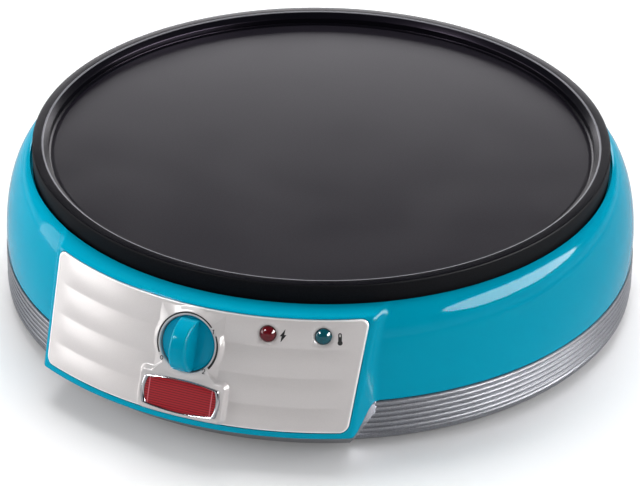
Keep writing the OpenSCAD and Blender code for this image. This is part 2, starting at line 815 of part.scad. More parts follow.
module cord_bush() color(rubber_black) on_axis()
    translate([0, tongue_r - 5, bush_z])
    rotate([-90, 0, 0])
    difference() {
        union() {
            cylinder(h = band_r - tongue_r + 5 + bush_flange_t, r = 6.8);
            cylinder(h = 3, r = 7.4);
            translate([0, 0, band_r - tongue_r + 5.1]) cylinder(h = bush_flange_t - 0.1, r = 9);
        }
        translate([0, 0, -1]) cylinder(h = 20, r = cord_r);
    }

module cord_clamp() color("#e8e6e0") on_axis()
    difference() {
        translate([-16, 136, foot_h + 9.7]) cube([32, 8, 4]);
        for (x = [-11, 11])
            translate([x, 140, foot_h + 9]) cylinder(h = 6, r = 1.7);
    }

module clamp_screws() color(zinc) on_axis()
    for (x = [-11, 11])
        translate([x, 140, foot_h + 5]) {
            cylinder(h = 9, r = 1.2);
            translate([0, 0, 8.75]) cylinder(h = 1.8, r = 2.8);
        }

block_z = foot_h + 6.1;

module terminal_block() color("#efece4") on_axis()
    difference() {
        translate([-16, 104, block_z]) cube([32, 16, 12]);
        for (x = [-10.5, 0, 10.5])
            translate([x, 103, block_z + 5]) rotate([-90, 0, 0]) cylinder(h = 18, r = 1.9);
        for (x = [-10.5, 10.5])
            translate([x, 112, block_z + 5]) cylinder(h = 8, r = 1.9);
        translate([0, 112, block_z - 1]) cylinder(h = 14, r = 1.5);
        translate([0, 112, block_z + 9]) cylinder(h = 4, r = 3.1);
    }

module terminal_screw() color(zinc) on_axis()
    translate([0, 112, foot_h + 2]) {
        cylinder(h = block_z - foot_h + 7.2, r = 1.2);
        translate([0, 0, block_z - foot_h + 7.1]) cylinder(h = 1.9, r = 2.9);
    }

module earth_tab() color("#c9a35a") on_axis()
    difference() {
        translate([-34, 38, under_z - 4.85]) cube([8, 18, 0.8]);
        translate([-30, 42, under_z - 6]) cylinder(h = 3, r = 1.7);
    }

module earth_screw() color(zinc) on_axis()
    translate([-30, 42, under_z - 6.7]) {
        cylinder(h = 1.8, r = 3);
        cylinder(h = 6, r = 1.6);
    }

// ---- Wiring -----------------------------------------------------------------

function unit(v) = v / norm(v);

function curve(p0, p1, p2, p3, t) =
    0.5 * (2 * p1 + (p2 - p0) * t + (2 * p0 - 5 * p1 + 4 * p2 - p3) * t * t
        + (3 * p1 - p0 - 3 * p2 + p3) * t * t * t);

// A smooth curve through the points p, with n steps between each two
function route(p, n = 4) =
    let (m = len(p) - 1)
    [for (i = [0:m - 1]) for (k = [0:n - 1])
        curve(p[max(i - 1, 0)], p[i], p[i + 1], p[min(i + 2, m)], k / n), p[m]];

// A closed tube of radius r along the points p; `side` is a direction that the route never takes
module tube(p, r, side = [0.2, 1, 0.1], sides = 8) {
    n = len(p);
    rings = [for (i = [0:n - 1])
        let (t = unit(p[min(i + 1, n - 1)] - p[max(i - 1, 0)]), a = unit(cross(t, side)), b = cross(t, a))
        for (k = [0:sides - 1]) p[i] + r * (cos(360 * k / sides) * a + sin(360 * k / sides) * b)];
    skin = [for (i = [0:n - 2]) for (k = [0:sides - 1]) for (half = [0, 1])
        let (j = (k + 1) % sides, low = i * sides, up = low + sides)
        half == 0 ? [low + k, up + k, up + j] : [low + k, up + j, low + j]];
    ends = [[for (k = [0:sides - 1]) k], [for (k = [sides - 1:-1:0]) (n - 1) * sides + k]];
    polyhedron(points = rings, faces = concat(ends, skin));
}

wire_r = 1.2;
thermostat_h = -bracket_h - body_t - 0.05;

// A blade of the thermostat's terminals, its end and a place behind it
function blade_end(x, back = 0) = face_point(knob_s, x, -7.6, thermostat_h - blade_l - back);

// The lower end of an element pin, and a place below it
function pin_end(a, below = 0) = [element_r * cos(a), element_r * sin(a), bead_z - 16.05 - below];

module capillary_tube() color("#b5713f") on_axis()
    tube(route([
        face_point(knob_s, 6, -4, thermostat_h), face_point(knob_s, 6, -4, thermostat_h - 4),
        face_point(knob_s, 6, -4, thermostat_h - 8),
        [16, -130, 51], [34, -104, 53], [46, -78, 57], [52, -60, 64], [50, -52, 72],
        [49, -50, bulb_z], [45, -50, bulb_z], [41.1, -50, bulb_z]
    ]), 0.8, [0.9, 0.3, 0]);

module live_wires() color("#6b3a1e") on_axis() {
    // from the mains to the thermostat
    tube(route([
        [-10.5, 104 - 0.05, block_z + 5], [-10.5, 100, block_z + 5], [-10.5, 96, block_z + 5],
        [-18, 60, 24], [-24, -30, 26], [-14, -108, 28], blade_end(-8, 12), blade_end(-8, 5), blade_end(-8)
    ]), wire_r, [1, 0.1, 0.1]);
    // from the thermostat to the fuse
    tube(route([
        blade_end(8), blade_end(8, 5), blade_end(8, 12), [22, -100, 30], [30, -40, 32], [30, 10, 36],
        [22, 52, 46], [20, 62, 56], [12, 64, 65], [1, 58, fuse_z], [2, 52, fuse_z], [5, 52, fuse_z],
        [8.9, 52, fuse_z]
    ]), wire_r * 0.8, [1, 0.2, 0.9]);
    // from the fuse to the element
    tube(route([
        [31.1, 52, fuse_z], [34, 52, fuse_z], [37, 52, fuse_z], [42, 59, 66], [42, 62, 58],
        [20, 54, 40], [-40, 0, 36], [-56, -60, 33], pin_end(235, 8), pin_end(235, 4), pin_end(235)
    ]), wire_r * 0.8, [0.1, 1, 0.3]);
}

module neutral_wire() color("#2c4c9c") on_axis()
    tube(route([
        [10.5, 104 - 0.05, block_z + 5], [10.5, 100, block_z + 5], [10.5, 96, block_z + 5],
        [0, 78, 12], [-56, 20, 12], [-84, -24, 24], pin_end(205, 8), pin_end(205, 4), pin_end(205)
    ]), wire_r, [0.1, 0.2, 1]);

module earth_wire() color("#7d9a2b") on_axis()
    tube(route([
        [0, 104 - 0.05, block_z + 5], [0, 100, block_z + 5], [0, 96, block_z + 5], [-14, 88, 28],
        [-34, 74, 40], [-46, 62, 54], [-46, 62, 64], [-38, 68, 71], [-30, 66, under_z - 4.45],
        [-30, 61, under_z - 4.45], [-30, 56.05, under_z - 4.45]
    ]), wire_r, [0.2, 0.1, 1]);

module lamp_wires() color("#e6e2d8") on_axis()
    for (a = [power_lamp_at, ready_lamp_at])
        rotate([0, 0, a])
        for (x = [-1.6, 1.6])
            tube(route([
                face_point(lamp_s, x, 0, -holder_h - lead_l - 0.05),
                face_point(lamp_s, x, 0, -holder_h - lead_l - 2),
                face_point(lamp_s, x, 0, -holder_h - lead_l - 4),
                [1.2 * x, -150, 60], [1.6 * x - 2, -149, 48], [2 * x - 6, -144, 38]
            ]), 0.8, [1, 0.1, 0.2]);

// ---- Drawing ----------------------------------------------------------------

cooking_plate();
heating_element();
element_beads();
element_pins();
heat_reflector();
plate_spacers();
plate_studs();
plate_washers();
plate_nuts();
upper_casing();
base_tray();
rubber_feet();
base_screws();
control_panel();
panel_screws();
badge_frame();
badge_insert();
power_lamp_lens();
ready_lamp_lens();
lamp_holders();
knob();
knob_spring();
thermostat_spindle();
thermostat_body();
thermostat_terminals();
thermostat_bracket();
thermostat_screws();
bracket_screws();
capillary_tube();
sensing_bulb();
bulb_clip();
bulb_clip_screw();
thermal_fuse();
fuse_clip();
terminal_block();
terminal_screw();
cord_bush();
cord_clamp();
clamp_screws();
earth_tab();
earth_screw();
live_wires();
neutral_wire();
earth_wire();
lamp_wires();
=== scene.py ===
"""Electric crepe maker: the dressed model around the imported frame.

Every shape below is worked out in millimetres about the hot plate's own upright axis, with azimuth 0
at the middle of the console and growing towards the right of someone who faces it.
"""
import math

import bmesh
import bpy
import numpy as np
from mathutils import Matrix, Vector


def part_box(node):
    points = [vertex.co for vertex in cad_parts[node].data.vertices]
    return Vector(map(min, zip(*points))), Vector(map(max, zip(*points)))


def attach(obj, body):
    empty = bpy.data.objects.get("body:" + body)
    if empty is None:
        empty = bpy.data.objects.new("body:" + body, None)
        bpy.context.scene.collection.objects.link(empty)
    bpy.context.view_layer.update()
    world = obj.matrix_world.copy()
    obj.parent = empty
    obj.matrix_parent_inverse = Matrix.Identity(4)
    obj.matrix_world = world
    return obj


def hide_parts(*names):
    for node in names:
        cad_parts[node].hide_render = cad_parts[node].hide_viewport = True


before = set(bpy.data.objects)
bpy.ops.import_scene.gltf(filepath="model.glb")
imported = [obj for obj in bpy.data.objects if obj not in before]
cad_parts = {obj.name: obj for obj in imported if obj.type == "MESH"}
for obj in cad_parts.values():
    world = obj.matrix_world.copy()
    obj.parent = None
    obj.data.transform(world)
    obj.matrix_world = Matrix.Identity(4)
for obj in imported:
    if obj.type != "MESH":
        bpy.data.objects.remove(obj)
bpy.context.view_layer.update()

# ---- Hot plate
# The real piece is a pressure die-cast aluminium disc, turned on its rim and sprayed with a dark
# non-stick coating. Three bosses underneath take the studs that pull it down onto the base.

MM = 0.001
plate_low, plate_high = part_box("cooking_plate")
plate_axis_y = (plate_low.y + plate_high.y) / 2
plate_r, plate_top, plate_floor, plate_under = 155, 88, 81.7, 77.2
rim_in, skirt_in, skirt_low, groove_low = 146.3, 151, 74, 72.5


def linear(code):
    """sRGB hex to linear: c / 12.92 up to 0.04045, above it ((c + 0.055) / 1.055) to the power 2.4."""
    c = np.array([int(code[i:i + 2], 16) for i in (0, 2, 4)]) / 255
    c = np.where(c <= 0.04045, c / 12.92, ((c + 0.055) / 1.055) ** 2.4)
    return (*c.tolist(), 1.0)


def put(value, socket):
    """Sets a socket to a value, or links it to the socket or node that feeds it; a node does so through
    its first output in use."""
    if isinstance(value, bpy.types.Node):
        value = next(out for out in value.outputs if out.enabled)
    if isinstance(value, bpy.types.NodeSocket):
        socket.id_data.links.new(value, socket)
    else:
        socket.default_value = value


def add(beside, kind, inputs=(), **settings):
    """Adds a node beside another, in the same tree, with its settings and links; the inputs come in the
    node's order, or by number or name."""
    made = beside.id_data.nodes.new("ShaderNode" + kind)
    for key, value in settings.items():
        setattr(made, key, value)
    for key, value in inputs.items() if isinstance(inputs, dict) else enumerate(inputs):
        put(value, made.inputs[key])
    return made


def finish(name, **inputs):
    """A new material: itself, its Principled shader, and object coordinates in millimetres."""
    made = bpy.data.materials.new(name)
    made.use_nodes = True
    shader = made.node_tree.nodes["Principled BSDF"]
    for key, value in inputs.items():
        shader.inputs[key.replace("_", " ")].default_value = value
    about = add(shader, "VectorMath", [add(shader, "TexCoord").outputs["Object"], (0, -plate_axis_y, 0)],
                operation="ADD")
    return made, shader, add(shader, "VectorMath", {0: about, "Scale": 1 / MM}, operation="SCALE")


def grain(where, size, detail=2.0, stretch=(1, 1, 1)):
    """Noise whose features are about `size` millimetres across."""
    place = add(where, "Mapping", {"Vector": where, "Scale": stretch})
    return add(where, "TexNoise", {"Vector": place, "Scale": 1 / size, "Detail": detail})


def colour(shader, share, first, second):
    """Colours the surface from first to second, a hex code or a node each, as a share goes from 0 to 1."""
    first, second = [linear(c) if isinstance(c, str) else c for c in (first, second)]
    put(add(shader, "Mix", {0: share, 6: first, 7: second}, data_type="RGBA"), shader.inputs["Base Color"])


def relief(shader, height, millimetres, strength):
    """Gives the surface a relief as high as `millimetres` where `height` is 1."""
    bump = add(shader, "Bump", {"Height": height, "Distance": millimetres * MM, "Strength": strength})
    put(bump, shader.inputs["Normal"])


def grid(rows, cols, start=0, close_rows=False, close_cols=False, windows=()):
    """Quads of a grid of vertex numbers; windows (row, row, col, col) stay open."""
    index = start + np.arange(rows * cols).reshape(rows, cols)
    if close_rows:
        index = np.vstack([index, index[:1]])
    if close_cols:
        index = np.hstack([index, index[:, :1]])
    keep = np.ones((index.shape[0] - 1, index.shape[1] - 1), bool)
    for row0, row1, col0, col1 in windows:
        keep[row0:row1, col0:col1] = False
    return np.stack([index[:-1, :-1], index[:-1, 1:], index[1:, 1:], index[1:, :-1]], -1)[keep]


def rounded(corners, steps=5, closed=False):
    """Outline from corners (x, y, radius): an arc tangent to both sides stands in for each corner."""
    at = np.array([c[:2] for c in corners], float)
    out = []
    for i, (_, _, radius) in enumerate(corners):
        here, before, after = at[i], at[i - 1], at[(i + 1) % len(at)]
        if radius == 0 or (not closed and i in (0, len(at) - 1)):
            out.append(here[None])
            continue
        a = (before - here) / np.linalg.norm(before - here)
        b = (after - here) / np.linalg.norm(after - here)
        half = math.acos(np.clip(a @ b, -1, 1)) / 2
        centre = here + (a + b) / np.linalg.norm(a + b) * radius / math.sin(half)
        reach, turn = radius / math.tan(half), math.pi - 2 * half
        t = np.linspace(0, 1, steps + 1)[:, None]
        first, last = here + a * reach - centre, here + b * reach - centre
        out.append(centre + (np.sin((1 - t) * turn) * first + np.sin(t * turn) * last) / math.sin(turn))
    return np.vstack(out)


def turned(outline, steps, closed=False, centre=(0, 0)):
    """An outline (r, z) turned about an upright axis: x = r sin a, y = -r cos a."""
    a = np.arange(steps) * 2 * math.pi / steps
    r, z = outline[:, :1], outline[:, 1:]
    points = np.stack([centre[0] + r * np.sin(a), centre[1] - r * np.cos(a), z + 0 * a], -1)
    return points.reshape(-1, 3), grid(len(outline), steps, close_rows=closed, close_cols=True)


def tube(x, y, inner, outer, low, high):
    """A short upright tube with square ends."""
    return turned(np.array([(inner, low), (outer, low), (outer, high), (inner, high)]), 40, True, (x, y))


def spots(radius, degrees):
    """Places (x, y) on a circle about the plate's axis."""
    return [(radius * math.cos(a), radius * math.sin(a)) for a in map(math.radians, degrees)]


def join(*parts):
    """One set of points and faces from several."""
    points, faces, count = [], [], 0
    for at, quads in parts:
        points.append(at.reshape(-1, 3))
        faces.append(quads + count)
        count += len(points[-1])
    return np.vstack(points), np.vstack(faces)


def in_scene(name, data):
    """A new object in the scene, made of a mesh, a lamp or a camera."""
    made = bpy.data.objects.new(name, data)
    bpy.context.scene.collection.objects.link(made)
    return made


def make(name, shape, material, nodes=(), body="root", crease=35, marks=None):
    """Puts points and quads into a mesh, merges its seams and poles, and turns its faces outwards; marks,
    a number for each point, become the attribute "mark"."""
    points, faces = shape
    mesh = bpy.data.meshes.new(name)
    mesh.vertices.add(len(points))
    mesh.vertices.foreach_set("co", (points * MM + (0, plate_axis_y, 0)).ravel())
    mesh.loops.add(faces.size)
    mesh.loops.foreach_set("vertex_index", faces.ravel())
    mesh.polygons.add(len(faces))
    mesh.polygons.foreach_set("loop_start", np.arange(0, faces.size, 4))
    mesh.update(calc_edges=True)
    if marks is not None:
        mesh.attributes.new("mark", "FLOAT", "POINT").data.foreach_set("value", marks)
    work = bmesh.new()
    work.from_mesh(mesh)
    bmesh.ops.remove_doubles(work, verts=work.verts, dist=2e-6)
    bmesh.ops.recalc_face_normals(work, faces=work.faces)
    work.to_mesh(mesh)
    work.free()
    mesh.shade_smooth()
    mesh.set_sharp_from_angle(angle=math.radians(crease))
    mesh.materials.append(material)
    piece = in_scene(name, mesh)
    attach(piece, body)
    if nodes:
        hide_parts(*nodes)
    return piece


# PTFE non-stick coating, sprayed: a satin charcoal with a fine orange peel, smoother on the rim. A thin grey
# ring is painted along the rim's inner top edge, a painted glint where that edge catches the light.
coating, shader, where = finish("sprayed_nonstick_coating", IOR=1.36, Specular_IOR_Level=0.3,
                                 Specular_Tint=linear("DCC8E8"))
floor_edge, glint_line_r = 145, 149.45
flat_place = add(shader, "VectorMath", [where, (1, 1, 0)], operation="MULTIPLY")
radius = add(shader, "VectorMath", [flat_place], operation="LENGTH")
on_floor = add(shader, "MapRange", [radius, floor_edge - 0.4, floor_edge + 0.4, 1, 0])
flecks = add(shader, "MapRange", [grain(where, 0.8, 3), 0.42, 0.62])
floor_colour = add(shader, "Mix", {0: flecks, 6: linear("161419"), 7: linear("1D1B21")}, data_type="RGBA")
# Painted glint: a grey ring 1 mm wide on the rim's inner top edge.
ring = add(shader, "Math", [radius, glint_line_r, 0.5], operation="COMPARE")
height = add(shader, "SeparateXYZ", [where]).outputs["Z"]
on_top = add(shader, "MapRange", [height, plate_top - 1, plate_top - 0.7])
painted_glint = add(shader, "Math", [ring, on_top], operation="MULTIPLY")
sprayed = add(shader, "Mix", {0: on_floor, 6: linear("08080D"), 7: floor_colour}, data_type="RGBA")
colour(shader, painted_glint, sprayed, "76767B")
satin = add(shader, "MapRange", [on_floor, 0, 1, 0.24, 0.31])
cloud = add(shader, "MapRange", [grain(where, 45, 2), 0.3, 0.7, -0.03, 0.03])
put(add(shader, "Math", [satin, cloud], operation="ADD"), shader.inputs["Roughness"])
relief(shader, grain(where, 0.7, 3), 0.02, 0.6)

plate_outline = rounded([
    (0, plate_floor, 0), (143.2, plate_floor, 3), (145.1, 81.0, 0.8), (rim_in, 81.9, 0.5), (rim_in, 85.1, 0.9),
    (149.3, plate_top, 0.6), (plate_r, plate_top, 0.9), (plate_r, skirt_low, 0.5), (skirt_in, skirt_low, 0.5),
    (skirt_in, plate_under, 0.6), (106, plate_under, 0.4), (106, groove_low, 0.5), (103.4, groove_low, 0.3),
    (103.4, 75.9, 3.2), (96.6, 75.9, 3.2), (96.6, groove_low, 0.3), (94, groove_low, 0.5),
    (94, plate_under, 0.4), (0, plate_under, 0)])
boss_top, stud_boss_low, screw_boss_low = 77.6, 62.82, 73.2
plate = make("hot_plate", join(
    turned(plate_outline, 288),
    *[tube(x, y, 2.5, 7, stud_boss_low, boss_top) for x, y in spots(118, (30, 150, 270))],
    *[tube(x, y, 1.65, 5, screw_boss_low, boss_top) for x, y in ((0, -38), (20, 40), (-30, 42))]),
    coating, ["cooking_plate"])
# The cast side under the rim is sprayed thinly and stays dull, so it mirrors next to nothing.
dull_side, shader, where = finish("thin_nonstick_on_cast_side", Roughness=0.5, IOR=1.36,
                                  Specular_IOR_Level=0.12)
colour(shader, add(shader, "MapRange", [grain(where, 0.8, 3), 0.42, 0.62]), "09090D", "0F0F13")
relief(shader, grain(where, 0.6, 3), 0.03, 0.6)
plate.data.materials.append(dull_side)
centres = np.empty(3 * len(plate.data.polygons))
plate.data.polygons.foreach_get("center", centres)
centres = centres.reshape(-1, 3) / MM - (0, plate_axis_y / MM, 0)
on_side = (np.hypot(centres[:, 0], centres[:, 1]) > plate_r - 0.7) | (centres[:, 2] < plate_floor - 1.2)
plate.data.polygons.foreach_set("material_index", on_side.astype(np.int32))

# ---- Upper casing
# One injection moulding in glossy turquoise ABS: a dome with a shoulder, and a console that grows out
# of its front between two drafted cheeks. A shallow seat with a window takes the control panel.

lean = math.radians(19.3)
lean_sin, lean_cos, lean_tan = math.sin(lean), math.cos(lean), math.tan(lean)
face_top_r, face_top_z = 166.9, 75.4
panel_half, panel_low_half, panel_low, panel_corner = 85.6, 83.6, 20.66, 4.0
dome_r, dome_z, dome_wide, dome_tall = 155, 37, 15, 41.4
well_r, well_floor, opening_r, opening_low = 156.2, 73.2, 147, 70.8
cheek_at, cheek_normal, cheek_from = (86.1, 165.4, 17), (0.978, 0.203, 0.044), 125
top_z, top_fall, base_z, base_drop, base_span = 78.3, 0.18, 28.2, 10.6, (170.5, 186)
top_round, face_round, base_round = 3.6, 1.3, 0.45
wall, face_wall = 2.5, 4.4
ray_r, ray_z = 140, 70


def face_r(z):
    """Radius of the console's conical face at height z."""
    return face_top_r + (face_top_z - z) * lean_tan


def slope_r(s):
    """Radius of that face s down its slope from the panel's upper edge."""
    return face_top_r + s * lean_sin


def taper(z):
    """Share of the panel's full half width at height z; its sides draw in evenly towards the table."""
    return 1 - (1 - panel_low_half / panel_half) * (face_top_z - z) / (face_top_z - panel_low)


def ease(value, low, high):
    """0 below low, 1 above high, and 3t^2 - 2t^3 between."""
    t = np.clip((value - low) / (high - low), 0, 1)
    return t * t * (3 - 2 * t)


def round_and(a, b, radius):
    """Distance to what two solids share, its edge rounded: the corner's distances are added squared."""
    corner = np.hypot(np.maximum(a + radius, 0), np.maximum(b + radius, 0))
    return np.minimum(-radius, np.maximum(a, b)) + corner


def round_or(a, b, radius):
    """Distance to two solids together, with a fillet where they meet: the same, the other way about."""
    corner = np.hypot(np.maximum(radius - a, 0), np.maximum(radius - b, 0))
    return np.maximum(radius, np.minimum(a, b)) - corner


def casing_skin(r, a, z, inset, face_inset):
    """Signed distance to the casing: a dome whose section is an ellipse, and a console that is the leaning
    face, two drafted cheeks and a top that falls outwards, all above the line of the base, which drops
    under the console. The ellipse's distance is its level less 1 over how fast the level grows."""
    x, reach = r * np.sin(a), r * np.cos(a)
    across, up = (r - dome_r) / dome_wide, (z - dome_z) / dome_tall
    e = np.hypot(across, up) + 1e-9
    dome = (e - 1) * e / np.hypot(across / dome_wide, up / dome_tall) + inset
    face = (r - face_r(z)) * lean_cos + face_inset
    cheek = sum(n * (at - on) for n, at, on in zip(cheek_normal, (np.abs(x), reach, z), cheek_at)) + inset
    cheek = np.maximum(cheek, cheek_from - reach)
    top = 0.984 * (z - top_z + top_fall * (r - well_r)) + inset
    console = round_and(face, round_and(cheek, top, top_round), face_round)
    body = round_or(dome, console, np.interp(np.abs(x), (84, 89), (0.02, 1.6)))
    low = (base_z - base_drop * ease(r, *base_span) - z) * 0.72 + inset
    return round_and(body, low, base_round)


def casing_points(a, tilt, inset=0.0, face_inset=0.0):
    """Points where rays from a ring inside the casing, tilted up by `tilt`, leave its skin, by halving."""
    near, far = np.full(a.shape, 0.3), np.full(a.shape, 75.0)
    for _ in range(28):
        reach = (near + far) / 2
        r, z = ray_r + reach * np.cos(tilt), ray_z + reach * np.sin(tilt)
        inside = casing_skin(r, a, z, inset, face_inset) < 0
        near, far = np.where(inside, reach, near), np.where(inside, far, reach)
    r, z = ray_r + near * np.cos(tilt), ray_z + near * np.sin(tilt)
    return np.stack([r * np.sin(a), -r * np.cos(a), z], -1)


def lines(knots, steps):
    """Values from knot to knot, each gap cut into parts no longer than its step."""
    out = [np.array([knots[0]])]
    for low, high, step in zip(knots, knots[1:], steps):
        out.append(np.linspace(low, high, max(1, math.ceil(abs(high - low) / step)) + 1)[1:])
    return np.concatenate(out)


def window_rim(cols, row0, row1, col0, col1):
    """Vertex numbers round a window of a grid, in one turn, from row0 to row1 and back."""
    step = 1 if row1 > row0 else -1
    return np.concatenate([row0 * cols + np.arange(col0, col1), np.arange(row0, row1, step) * cols + col1,
                           row1 * cols + np.arange(col1, col0, -1), np.arange(row1, row0, -step) * cols + col0])


def bands(first, last, loops, start):
    """Points and quads of the loops between two rims of a mesh that already have vertex numbers."""
    count = len(first)
    rims = [first] + [start + i * count + np.arange(count) for i in range(len(loops))] + [last]
    quads = [np.stack([a, np.roll(a, -1), np.roll(b, -1), b], -1) for a, b in zip(rims, rims[1:])]
    return np.vstack(loops), np.vstack(quads)


def cone_point(x, z, depth):
    """The place x to the right at height z on the console's face, `depth` behind it along its normal."""
    r = face_r(z)
    a = np.arcsin(x / r)
    r = r - depth * lean_cos
    return np.stack([r * np.sin(a), -r * np.cos(a), z - depth * lean_sin], -1)


def panel_edge(at, grow):
    """Moves points (x, z) square onto the panel's rounded outline, grown by `grow`."""
    at = at / np.column_stack([taper(at[:, 1]), np.ones(len(at))])
    core = np.clip(at, np.array([-panel_half, panel_low]) + panel_corner,
                   np.array([panel_half, face_top_z]) - panel_corner)
    away = at - core
    moved = core + (panel_corner + grow) * away / np.linalg.norm(away, axis=1, keepdims=True)
    return moved * np.column_stack([taper(moved[:, 1]), np.ones(len(at))])


seat_half = panel_half + 0.55
face_low_s, seat_low_s, seat_top_s = 60.3, 58.6, -0.3
face_s = lines([face_low_s, seat_low_s, 52.6, 5.7, seat_top_s], [0.6, 0.6, 1.5, 0.6])
row0 = len(lines([face_low_s, seat_low_s], [0.6])) - 1
face_tilt = np.arctan2(face_top_z - ray_z - face_s * lean_cos, face_top_r - ray_r + face_s * lean_sin)
low_tilt = np.radians(lines([-56.7, -54.9, -53.8, -50.2, -48.0], [0.9, 0.25, 0.15, 0.2]))
top_tilt = np.radians(lines([12.1, 15.6, 26.6], [0.25, 1.2]))
tilt = np.concatenate([low_tilt, face_tilt, top_tilt])
row0, row1 = len(low_tilt) + row0, len(low_tilt) + len(face_tilt) - 1
row_r = np.interp(np.arange(len(tilt)), [len(low_tilt), row1], [face_r(18.5), face_r(75.68)])

half_cols = np.concatenate([lines([0, 78, seat_half], [1.6, 0.6]) / seat_half,
                            1 + lines([0, 7, 22, 150], [0.17, 0.75, 2.0])[1:] / 150])
col = np.concatenate([-half_cols[:0:-1], half_cols[:-1]])
seat_cols = np.flatnonzero(np.abs(col) <= 1.0001)
col0, col1 = seat_cols[0], seat_cols[-1]


def casing_azimuth(radius):
    """Azimuth of each column where the face has this radius: two columns follow the sides of the seat."""
    side = np.arcsin(seat_half * taper(face_top_z - (radius - face_top_r) / lean_tan) / radius)[:, None]
    beyond = np.sign(col) * (side + (math.pi - side) * (np.abs(col) - 1))
    return np.where(np.abs(col) <= 1, side * col, beyond)


outer = casing_points(casing_azimuth(row_r), tilt[:, None] + 0 * col)
last_a = casing_azimuth(row_r[-1:])
seat = [np.stack([r * np.sin(last_a), -r * np.cos(last_a), z + 0 * last_a], -1)
        for r, z in ((well_r, 77.9), (well_r, well_floor), (opening_r, well_floor), (opening_r, opening_low))]
span = row1 - row0
inner_s = 7.5 + (face_s[-span - 1:][::-1] - seat_top_s) / (seat_low_s - seat_top_s) * 47
inner_face_tilt = np.arctan2(5.4 - inner_s * lean_cos, 22.3 + inner_s * lean_sin)
inner_tilt = np.concatenate([np.radians([6, 2]), inner_face_tilt,
                             np.radians([-50.5, -51.7, -53, -54.5, -56, -56.7])])
inner_r = np.interp(np.arange(len(inner_tilt)), [2, 2 + span], [face_r(68.3), face_r(24)])
inner = casing_points(casing_azimuth(inner_r), inner_tilt[:, None] + 0 * col, wall, face_wall)
inner[..., 2] = np.minimum(inner[..., 2], opening_low)
shell = np.vstack([outer, *seat, inner])
cols = len(col)
inner_row0 = len(outer) + len(seat) + 2
windows = [(row0, row1, col0, col1), (inner_row0, inner_row0 + span, col0, col1)]
rim = window_rim(cols, row0, row1, col0, col1)
inner_rim = window_rim(cols, inner_row0 + span, inner_row0, col0, col1)
rim_at = shell.reshape(-1, 3)[rim][:, (0, 2)]
loops = []
for grow, depth in ((0.4, 0), (0.4, 2.15), (-1.5, 2.15), (-1.5, face_wall)):
    at = panel_edge(rim_at, grow)
    loops.append(cone_point(at[:, 0], at[:, 1], depth))
loop_points, loop_quads = bands(rim, inner_rim, loops, len(shell) * cols)
shell_quads = grid(len(shell), cols, close_rows=True, close_cols=True, windows=windows)
casing_shape = np.vstack([shell.reshape(-1, 3), loop_points]), np.vstack([shell_quads, loop_quads])

# Glossy injection-moulded ABS: an even colour under a polished skin, with faint flow waviness.
gloss, shader, where = finish("moulded_gloss_abs", Roughness=0.1, IOR=1.53, Specular_IOR_Level=0.05,
                              Specular_Tint=linear("0AA5C4"), Coat_Weight=0.13, Coat_Roughness=0.03)
colour(shader, add(shader, "MapRange", [grain(where, 60, 2), 0.3, 0.7]), "0099B8", "009FBE")
relief(shader, grain(where, 30, 1), 0.05, 0.5)
posts = [tube(x, y, 1.7, 5, 12.3, 71.2) for x, y in spots(154, range(0, 360, 60))]
make("upper_shell", join(casing_shape, *posts), gloss, ["upper_casing"])

# ---- Control panel
# A separate moulding in pearl off-white ABS, four shallow bands across it. Round the knob and under
# the badge it stands out in two flat bosses, and each lamp sits in a small dimple.

knob_s, badge_s, lamp_s = 19.6, 47.0, 8.5
lamp_turns = [math.radians(13.4), math.radians(22.8)]
band_pitch, crest, boss_out, panel_thick = 15.13, 0.5, 2.4, 2.1
knob_boss, badge_boss, badge_core = (17.0, 19.2), (2.1, 4.3), (20.2, 7.4)
dimple_deep, dimple_wall = 0.9, (4.2, 6.2)


def face_point(a, s, out):
    """The place at azimuth a, s down the slope from the panel's upper edge, `out` from the face."""
    r = slope_r(s) + out * lean_cos
    return np.stack([r * np.sin(a), -r * np.cos(a), face_top_z - s * lean_cos + out * lean_sin], -1)


def on_face(at, a, s, out=0.0):
    """Carries points (right, up the slope, outwards) to the flat place at azimuth a and slope s."""
    r = slope_r(s)
    x = at[..., 0]
    y = -r + at[..., 1] * lean_sin - (at[..., 2] + out) * lean_cos
    z = face_top_z - s * lean_cos + at[..., 1] * lean_cos + (at[..., 2] + out) * lean_sin
    return np.stack([x * math.cos(a) - y * math.sin(a), x * math.sin(a) + y * math.cos(a), z], -1)


def boss_height(a, s, centre_s):
    """How far a flat boss, square to the slope at centre_s, stands above the curved face."""
    r, middle = slope_r(s), slope_r(centre_s)
    sink = (r * np.cos(a) - middle) * lean_cos - (s - centre_s) * lean_cos * lean_sin
    return (boss_out - sink) / (np.cos(a) * lean_cos ** 2 + lean_sin ** 2)


def panel_height(a, s):
    """Bands as half sine waves that fade towards the sides, then the two bosses and the lamps' dimples."""
    x = slope_r(s) * np.sin(a)
    bands_up = np.abs(np.sin(math.pi * s / band_pitch))
    height = crest * (1 - (1 - bands_up) * ease(panel_half - np.abs(x), 3, 16))
    from_knob = np.hypot(x, s - knob_s)
    from_badge = np.hypot(*[np.maximum(np.abs(d) - half, 0) for d, half in zip((x, s - badge_s), badge_core)])
    for centre_s, away, wall_span in ((knob_s, from_knob, knob_boss), (badge_s, from_badge, badge_boss)):
        height = height + (boss_height(a, s, centre_s) - height) * (1 - ease(away, *wall_span))
    for turn in lamp_turns:
        away = np.hypot(slope_r(s) * (a - turn), s - lamp_s)
        height = height - dimple_deep * (1 - ease(away, *dimple_wall))
    return height


def panel_point(x, z, out):
    """A place on the panel's face from its elevation (x, z), `out` above the moulded surface."""
    s = (face_top_z - z) / lean_cos
    a = np.arcsin(x / slope_r(s))
    return face_point(a, s, panel_height(a, s) + out)


